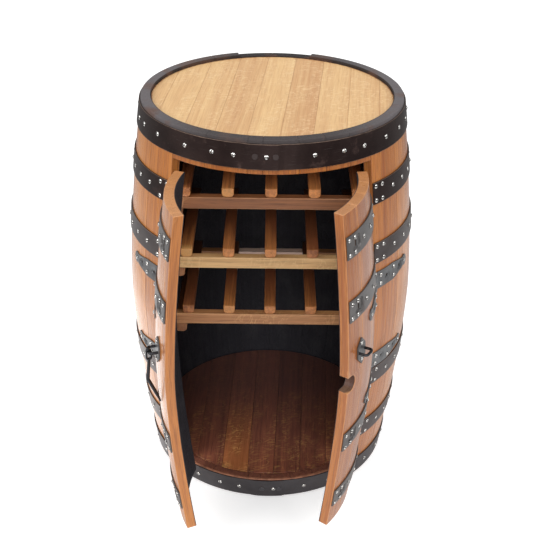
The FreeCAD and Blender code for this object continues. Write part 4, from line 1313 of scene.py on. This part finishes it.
def outline_share(away, a, b, power):
    """How far out a point is from the middle of a hole, 1 on its outline |x/a|^n + |y/b|^n = 1."""
    return ((np.abs(away[:, 0] / a) ** power + np.abs(away[:, 1] / b) ** power) ** (1 / power))[:, None]


def pierced_sheet(x, y, holes):
    """Grid sheet in a plane. A hole is (x, y, half width, half height, power): its outline is a
    superellipse, met along the straight lines from its middle."""
    grid = np.stack(np.meshgrid(x, y, indexing="ij"), -1)
    number = np.arange(len(x) * len(y)).reshape(len(x), len(y))
    keep = np.ones((len(x) - 1, len(y) - 1), bool)
    points, extra = [grid.reshape(-1, 2)], []
    count = number.size
    for hx, hy, a, b, power in holes:
        margin = HOLE_MARGIN * max(a, b)
        i0, i1 = np.searchsorted(x, hx - margin) - 1, np.searchsorted(x, hx + margin)
        j0, j1 = np.searchsorted(y, hy - margin) - 1, np.searchsorted(y, hy + margin)
        i0, j0, i1, j1 = max(i0, 0), max(j0, 0), min(i1, len(x) - 1), min(j1, len(y) - 1)
        keep[i0:i1, j0:j1] = False
        loop = tuple(np.array(ring_of((i0, i1), (j0, j1))).T)
        away = grid[loop] - (hx, hy)
        inner = (hx, hy) + away / outline_share(away, a, b, power)
        points += [(inner * 2 + grid[loop]) / 3, inner]
        n = len(inner)
        rings = [number[loop], count + np.arange(n), count + n + np.arange(n)]
        count += 2 * n
        for near, far in zip(rings[:-1], rings[1:]):
            extra.append(np.stack([near, np.roll(near, -1), np.roll(far, -1), far], -1))
    faces = np.concatenate([grid_quads(number)[keep]] + extra)
    used = np.unique(faces)
    order = np.zeros(count, int)
    order[used] = np.arange(len(used))
    return np.concatenate(points)[used], order[faces]


def hole_floor(holes, sides=16):
    """A disc under each hole, a little wider than it is."""
    angle = np.linspace(0, 2 * math.pi, sides, endpoint=False) + math.pi / sides
    ray = np.stack([np.cos(angle), np.sin(angle)], -1)
    points = [(hx, hy) + 1.08 * ray / outline_share(ray, a, b, power) for hx, hy, a, b, power in holes]
    faces = [closing_quads(sides) + sides * number for number in range(len(holes))]
    return np.concatenate(points), np.concatenate(faces)


# %% Bent plates
FLOOR_LIFT = 0.0004            # the dark disc in the bottom of each hole, above the plate's back
PLATE_BEVEL = 0.0005


def add_plate(part, floors, x, y, holes, lift, bend, place, side):
    """A pierced sheet, and the dark discs in its holes in another part. Bend lays flat points on the closed
    cask with a lift, and place carries them to where they stand."""
    for target, (flat, faces), rise in ((part, pierced_sheet(x, y, holes), lift),
                                        (floors, hole_floor(holes), lift + FLOOR_LIFT)):
        closed = bend(flat, rise)
        target.add_sheet(place(closed), faces, closed, side)


def plate_finish(piece, thickness):
    """Thickness outward from the sheet and broken edges."""
    solid = piece.modifiers.new("thickness", "SOLIDIFY")
    solid.thickness = thickness
    solid.offset = 1.0
    edge = piece.modifiers.new("broken_edges", "BEVEL")
    edge.width = PLATE_BEVEL
    edge.segments = 2
    edge.limit_method = "ANGLE"
    edge.angle_limit = math.radians(40)
    piece.modifiers.move(0, len(piece.modifiers) - 1)


def placer(side, moving):
    """A function that carries points of the closed layout, on the right, to where they stand: to the
    open door, or to the staves on the right or left."""
    if moving:
        return lambda points: open_door(points, side)
    return lambda points: points * (side, 1, 1)


# %% Door straps
SLOT_ANGLE = math.radians(7.6)
SLOT_SHAPE = (0.0025, 0.0065, 4.0)   # half width, half height and power
STRAP_LIFT = 0.00026           # above the staves
STRAP_GAP = 0.03               # the straps of a door are farther apart than this
STRAP_GRID = (56, 13)          # points along and across


def add_strap(part, floors, points, side):
    """A strap with its slot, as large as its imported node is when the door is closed."""
    start, end, low, high = limits_of(points)
    middle, half = (low + high) / 2, (high - low) / 2
    x = np.linspace(start * BILGE_RADIUS, end * BILGE_RADIUS, STRAP_GRID[0])
    y = np.linspace(-half, half, STRAP_GRID[1])

    def bend(flat, lift):
        radius = straight_wall(middle, half, flat[:, 1]) + lift
        return on_cask(flat[:, 0] / BILGE_RADIUS, radius, middle + flat[:, 1])

    add_plate(part, floors, x, y, [(SLOT_ANGLE * BILGE_RADIUS, 0.0, *SLOT_SHAPE)], STRAP_LIFT, bend,
              placer(side, True), side)


for side, word in SIDES.items():
    name = word + "_door_straps"
    part, floors = Part(), Part()
    for points in clusters(close_door(node_points(name), side), 2, STRAP_GAP):
        add_strap(part, floors, points, side)
    plate_finish(part.make(name, "_steel", STRAP_STEEL, word + "_door", "dark_steel"), HOOP_THICKNESS)
    floors.make(name, "_hole_floors", HOLE_DARK, word + "_door", "dark_steel")

# %% Hinge leaves
LEAF_HEIGHT = 0.040
LEAF_THICKNESS = 0.0025
LEAF_LIFT = 0.0002
LEAF_ANGLE = math.radians(25.4)
LEAF_START = math.radians(1.0)
LEAF_LAP = math.radians(0.9)
LEAF_NECK = 0.017              # the neck lies this far from the end
NECK_HALF = 0.0095
LEAF_TIP = 0.0125              # radius of the round end
LEAF_GRID = (30, 17, 9)        # points along the straight part, along the round end and across
JAMB = math.radians(43.2)
HINGES = (0.560, 0.352)        # heights of the hinges
LEAF_HOLE = 0.0026
LEAF_HOLES = ((0.33, 1.0), (0.72, 0.7))   # share of the length, and how much the leaf has narrowed


def leaf_outline(x, length):
    """Half height of a leaf along its length: straight, narrowing to a neck, then a round tip."""
    neck = length - LEAF_NECK
    taper = np.interp(x, [0, 0.5 * length, neck], [LEAF_HEIGHT / 2, LEAF_HEIGHT / 2, NECK_HALF])
    end = np.sqrt(np.maximum(LEAF_TIP ** 2 - (x - (length - LEAF_TIP)) ** 2, 0.0004 ** 2))
    return np.where(x > neck, end, np.maximum(taper, np.where(x > length - 2 * LEAF_TIP, end, 0)))


def add_leaf(part, floors, z, direction, side, place):
    """A leaf on the fixed staves (direction 1) or on the closed door (-1)."""
    length, half = LEAF_ANGLE * BILGE_RADIUS, LEAF_HEIGHT / 2
    to_end, to_tip, across = LEAF_GRID
    x = np.concatenate([np.linspace(LEAF_START * BILGE_RADIUS, length - 2 * LEAF_TIP - 0.001, to_end),
                        length - LEAF_TIP - LEAF_TIP * np.cos(np.linspace(0, math.pi, to_tip))])
    y = np.linspace(-half, half, across)
    holes = [(share * length, 0.0, LEAF_HOLE, LEAF_HOLE / narrow, 2.0) for share, narrow in LEAF_HOLES]

    def bend(flat, lift):
        rise = flat[:, 1] / half * leaf_outline(flat[:, 0], length)
        radius = straight_wall(z, half, rise) + lift
        return on_cask(JAMB + direction * flat[:, 0] / BILGE_RADIUS, radius, z + rise)

    add_plate(part, floors, x, y, holes, LEAF_LIFT, bend, place, side)


# %% [markdown]
# ## Hinge barrels
#
# A leaf is rolled round the hinge pin: a third of the height on the door, the other two on
# the staves. Two cylinders and a box could be joined, but their seams would show. Here one
# outline is drawn round the axis by casting rays: along each ray the skin lies at the
# barrel's radius, or at the web that leads to the leaf where that is farther out.

# %% Hinge barrels
KNUCKLE_RADIUS = 0.0046
KNUCKLE_GAP = 0.0004
KNUCKLE_EDGE = 0.0004          # chamfer at both ends of a barrel
KNUCKLE_SIDES = 96
WEB_CORNER = (0.00368, 0.0008)   # where the web runs into the barrel: along the leaf, above its face
FIXED_BORE = 0.00252
DOOR_BORE = 0.00256
HINGE_PLACE = np.array(JOINTS["right_hinge"]["pos_m"][:2])


def knuckle_radius(angle, direction, depth):
    """Distance from the hinge axis to the outline of barrel and web, along each ray."""
    reach = (LEAF_START + LEAF_LAP) * BILGE_RADIUS
    face = LEAF_THICKNESS - depth
    corners = np.array([(0, -KNUCKLE_RADIUS), (reach, -depth), (reach, face),
                        (WEB_CORNER[0], face + WEB_CORNER[1]), (0, 0)]) * (direction, 1)
    ray = np.stack([np.cos(angle), np.sin(angle)], -1)
    far = np.full(len(angle), KNUCKLE_RADIUS)
    for start, end in zip(corners[:-1], corners[1:]):
        edge = end - start
        cross = ray[:, 0] * edge[1] - ray[:, 1] * edge[0]
        cross = np.where(np.abs(cross) < 1e-9, 1e-9, cross)
        along = (start[0] * edge[1] - start[1] * edge[0]) / cross
        share = (start[0] * ray[:, 1] - start[1] * ray[:, 0]) / cross
        hit = (along > 0) & (share >= -1e-6) & (share <= 1 + 1e-6)
        far = np.where(hit, np.maximum(far, along), far)
    return far


def add_knuckle(part, low, high, direction, bore, place):
    """One barrel with its web: a section of six points carried round the hinge axis."""
    angle = np.linspace(0, 2 * math.pi, KNUCKLE_SIDES, endpoint=False)
    depth = np.hypot(*HINGE_PLACE) - max(bulge(low), bulge(high)) - LEAF_LIFT
    reach = knuckle_radius(angle, direction, depth)
    inner, soft = reach - KNUCKLE_EDGE, KNUCKLE_EDGE
    rings = [np.stack([radius * np.cos(angle), radius * np.sin(angle), z + 0 * angle], -1)
             for radius, z in ((bore, low), (inner, low), (reach, low + soft), (reach, high - soft),
                               (inner, high), (bore, high))]
    skin = np.stack(rings, 1).reshape(-1, 3)
    leaf_way, outward = (math.cos(JAMB), math.sin(JAMB)), (math.sin(JAMB), -math.cos(JAMB))
    plan = HINGE_PLACE + skin[:, :2] @ np.array([leaf_way, outward])
    closed = np.column_stack([plan, skin[:, 2]])
    part.add(place(closed), loft_faces(len(angle), 6, closed=True), closed)


def barrel_limits(z, moving):
    """Lower and upper end of the barrels of one leaf: the middle third moves, the outer two are fixed."""
    third, gap = LEAF_HEIGHT / 3, KNUCKLE_GAP / 2
    cuts = [z - LEAF_HEIGHT / 2 + i * third for i in range(4)]
    limits = [(cuts[0], cuts[1] - gap), (cuts[1] + gap, cuts[2] - gap), (cuts[2] + gap, cuts[3])]
    return limits[1:2] if moving else limits[::2]


def make_leaves(side, moving):
    """Both leaves on one door, or both beside it, with their barrels."""
    word, direction = SIDES[side], -1 if moving else 1
    name = "%s_%s_leaves" % (word, "door" if moving else "fixed")
    body = word + "_door" if moving else "cabinet"
    place = placer(side, moving)
    plates, barrels, floors = Part(), Part(), Part()
    for z in HINGES:
        add_leaf(plates, floors, z, direction, side, place)
        for foot, head in barrel_limits(z, moving):
            add_knuckle(barrels, foot, head, direction, DOOR_BORE if moving else FIXED_BORE, place)
    plate_finish(plates.make(name, "_plates", FORGED, body, "forged_steel"), LEAF_THICKNESS)
    barrels.make(name, "_knuckles", FORGED, body, "forged_steel")
    floors.make(name, "_hole_floors", HOLE_DARK, body, "forged_steel")


for side in SIDES:
    for moving in (False, True):
        make_leaves(side, moving)
print("straps and hinges made")

# %% [markdown]
# ## Pieces kept from the frame
#
# The hinge pins, the latch plates with their rings and the rivets of the hoops are already
# round and smooth enough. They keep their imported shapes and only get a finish, which is put
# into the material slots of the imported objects.

# %% Carried-over pieces
KEPT = {"hinge_pins": FORGED, "latch_plate": FORGED, "latch_ring": HOOK_STEEL, "rivets": RIVET_STEEL}
for name, node in frame["nodes"].items():
    for ending, finish in KEPT.items():
        if name.endswith(ending):
            print(name, "gets", finish.name)
            for slot in node.material_slots:
                slot.material = finish

# %% [markdown]
# ## Hook
#
# Hand-forged rod swells below its eye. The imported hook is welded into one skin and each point
# moves out along its normal: p + g n, where the growth g rises from nothing at the eye to its
# full size a little below it. A Displace modifier with a vertex group would do the same.

# %% Hook
HOOK_GROWTH = 0.0008
EYE_REACH = 0.017              # the growth begins this far below the middle of the ring
SWELL_LENGTH = 0.008


def make_hook():
    skin = bmesh.new()
    skin.from_mesh(frame["nodes"]["latch_hook"].data)
    bmesh.ops.remove_doubles(skin, verts=skin.verts, dist=1e-6)
    bmesh.ops.recalc_face_normals(skin, faces=skin.faces)
    mesh = bpy.data.meshes.new("latch_hook_forged")
    skin.to_mesh(mesh)
    skin.free()
    points, normals = np.empty((2, len(mesh.vertices) * 3))
    mesh.vertices.foreach_get("co", points)
    mesh.vertex_normals.foreach_get("vector", normals)
    points, normals = points.reshape(-1, 3), normals.reshape(-1, 3)
    below = JOINTS["hook_swing"]["pos_m"][2] - EYE_REACH - points[:, 2]
    points += normals * (HOOK_GROWTH * np.clip(below / SWELL_LENGTH, 0, 1))[:, None]
    mesh.vertices.foreach_set("co", points.astype(np.float32).ravel())
    mesh.update()
    finish_piece(mesh, HOOK_STEEL, "latch_hook", "latch_hook")
    print("hook", len(points), "points from", points.min(0).round(4), "to", points.max(0).round(4))


make_hook()

# %% [markdown]
# ## Screw heads
#
# There are hundreds of screws, so one head has only sixty faces: a grid of seven by
# four laid over a disc by y = v sqrt(R^2 - x^2), lifted to a dome, with the two middle grid
# lines pressed down into a slot. Each packed head gives the centre and the outward axis of
# one of them: the axis is the direction in which its points spread least.

# %% Screw heads
SCREW_RADIUS = 0.0048
SCREW_RIM = 0.0008             # height of the head's side
SCREW_DOME = 0.0022
SLOT_HALF = 0.00062
SLOT_DEPTH = 0.0011
HEAD_GAP = 0.0105              # from one packed head to the next there is at least this much


def screw_pattern():
    """One head about the origin with its axis along z, and the distance of each point to the slot."""
    slot = SLOT_HALF / SCREW_RADIUS
    x = np.array([-0.96, -0.62, -slot - 0.03, -slot, slot, slot + 0.03, 0.62, 0.96])
    v = np.array([-1.0, -0.55, 0.0, 0.55, 1.0])
    across, along = np.meshgrid(x, v, indexing="ij")
    y = along * np.sqrt(1 - across ** 2)
    height = SCREW_RIM + SCREW_DOME * (1 - across ** 2 - y ** 2)
    height = np.where(np.abs(across) < slot * 1.01, np.maximum(height - SLOT_DEPTH, SCREW_RIM), height)
    top = np.stack([across * SCREW_RADIUS, y * SCREW_RADIUS, height], -1).reshape(-1, 3)
    number = np.arange(len(top)).reshape(across.shape)
    ring = np.concatenate([number[:-1, 0], number[-1, :-1], number[:0:-1, -1], number[0, :0:-1]])
    under = len(top) + np.arange(len(ring))
    wall_quads = np.stack([ring, under, np.roll(under, -1), np.roll(ring, -1)], -1)
    points = np.concatenate([top, top[ring] * (1.02, 1.02, 0)])
    faces = np.concatenate([grid_quads(number).reshape(-1, 4), wall_quads, under[closing_quads(len(ring))]])
    return points, faces, np.maximum(np.abs(points[:, 0]) - SLOT_HALF, 0)


def head_frames(points):
    """Centre of the base and outward axis of each packed head, in the closed layout."""
    jump = np.linalg.norm(np.diff(points, axis=0), axis=1)
    frames = []
    for group in np.split(points, np.nonzero(jump > HEAD_GAP)[0] + 1):
        centre = (group.min(0) + group.max(0)) / 2
        _, axes = np.linalg.eigh(np.cov((group - group.mean(0)).T))
        axis = axes[:, 0]
        if axis @ (centre * (1, 1, 0)) < 0:
            axis = -axis
        frames.append((centre + axis * ((group - centre) @ axis).min(), axis))
    return np.array(frames)


def make_screws(name, body, side=None):
    """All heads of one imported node, each with its slot turned at random."""
    points = node_points(name)
    frames = head_frames(points if side is None else close_door(points, side))
    centre, axis = frames[:, 0], frames[:, 1]
    turn = RANDOM.random(len(centre)) * math.pi
    level = np.cross(axis, (0, 0, 1.0))
    level /= np.linalg.norm(level, axis=1)[:, None]
    up = np.cross(level, axis)
    c, s = np.cos(turn)[:, None], np.sin(turn)[:, None]
    ways = np.stack([level * c + up * s, up * c - level * s, axis])
    pattern, faces, slot = screw_pattern()
    heads = centre[:, None] + np.einsum("pk,kni->npi", pattern, ways)
    if side is not None:
        heads = open_door(heads, side)
    part = Part()
    for head in heads:
        part.add(head, faces, head, slot)
    print(name, len(heads))
    return part.make(name, "_bright", BRIGHT, body, "bright_screws")


make_screws("cabinet_screws", "cabinet")
make_screws("right_door_screws", "right_door", 1)
make_screws("left_door_screws", "left_door", -1)

# %% [markdown]
# ## Floor and light
#
# The cask stands in a plain white studio. Two large lamps from the left and right, one from
# the front and a faint one from above give soft light; the world adds the rest. A backdrop
# lit until it is white would burn out the pale oak too. Instead the floor and the world are
# white only for rays that come straight from the camera, and the floor keeps its shadow. On
# the left the floor also glows in reflections, which puts a sheen on the open door.

# %% Floor, world and lamps
FLOOR_HALF = 8.0
FLOOR_DROP = 0.0005            # below the foot of the cask
LAMPS = {"front": (1.2, 25, 64, 0), "left": (1.4, 40, 60, -64), "right": (1.0, 40, 58, 58),
         "top": (0.25, 60, 0, 0)}    # strength, then width, pitch and heading in degrees


def grey(level):
    return (level, level, level, 1.0)


def white_world():
    """White where the camera looks past the object, a little less as light."""
    world = bpy.data.worlds.new("studio")
    bpy.context.scene.world = world
    world.use_nodes = True
    graph = Graph(world.node_tree)
    seen = graph.put("LightPath", "Is Camera Ray")
    graph.fill(world.node_tree.nodes["Background"], {"Color": graph.mix(seen, grey(0.48), grey(1.0))})


def make_lamps():
    for name, (strength, width, pitch, heading) in LAMPS.items():
        light = bpy.data.lights.new(name, "SUN")
        light.energy = strength
        light.angle = math.radians(width)
        add_object(name, light).rotation_euler = (math.radians(pitch), 0, math.radians(heading))


def build_floor(graph):
    """Pale near the cask; farther off it is darker but glows white to the camera. On the left near the cask
    it glows for glossy rays only: a painted reflection on the open door.
    """
    spot = graph.spot()
    reach = graph.length(spot)
    far = graph.ramp(reach, 1.3, 2.8)
    near = graph.mix(graph.times(graph.noise(spot, 3.0), 0.02), grey(0.92), grey(0.88))
    aside = graph.times(graph.ramp(graph.axis(spot, "X"), -0.1, 0.1, 1.0, 0.0),
                        graph.ramp(graph.axis(spot, "Y"), -0.3, 0.0))
    aside = graph.times(aside, graph.ramp(reach, 0.8, 1.25, 1.0, 0.0))
    seen = graph.times(graph.put("LightPath", "Is Camera Ray"), graph.ramp(far, 0.0, 1.0, 0.4, 1.0))
    # Glow for glossy rays only: a painted reflection on the open door.
    painted_reflection = graph.times(graph.put("LightPath", "Is Glossy Ray"), graph.times(aside, 1.1))
    return {"Base_Color": graph.mix(far, near, grey(0.22)), "Emission_Strength": graph.plus(seen, painted_reflection)}


def make_floor():
    mesh = bpy.data.meshes.new("studio_floor")
    corners = [(x * FLOOR_HALF, y * FLOOR_HALF, 0) for x, y in ((-1, -1), (1, -1), (1, 1), (-1, 1))]
    mesh.from_pydata(corners, [], [(0, 1, 2, 3)])
    mesh.materials.append(make_material("studio_floor", build_floor, Roughness=0.9, Emission_Color=grey(1.0)))
    floor = add_object("studio_floor", mesh)
    floor.location.z = -FLOOR_DROP


white_world()
make_lamps()
make_floor()
bpy.context.scene.view_settings.view_transform = "Standard"

bpy.context.view_layer.update()
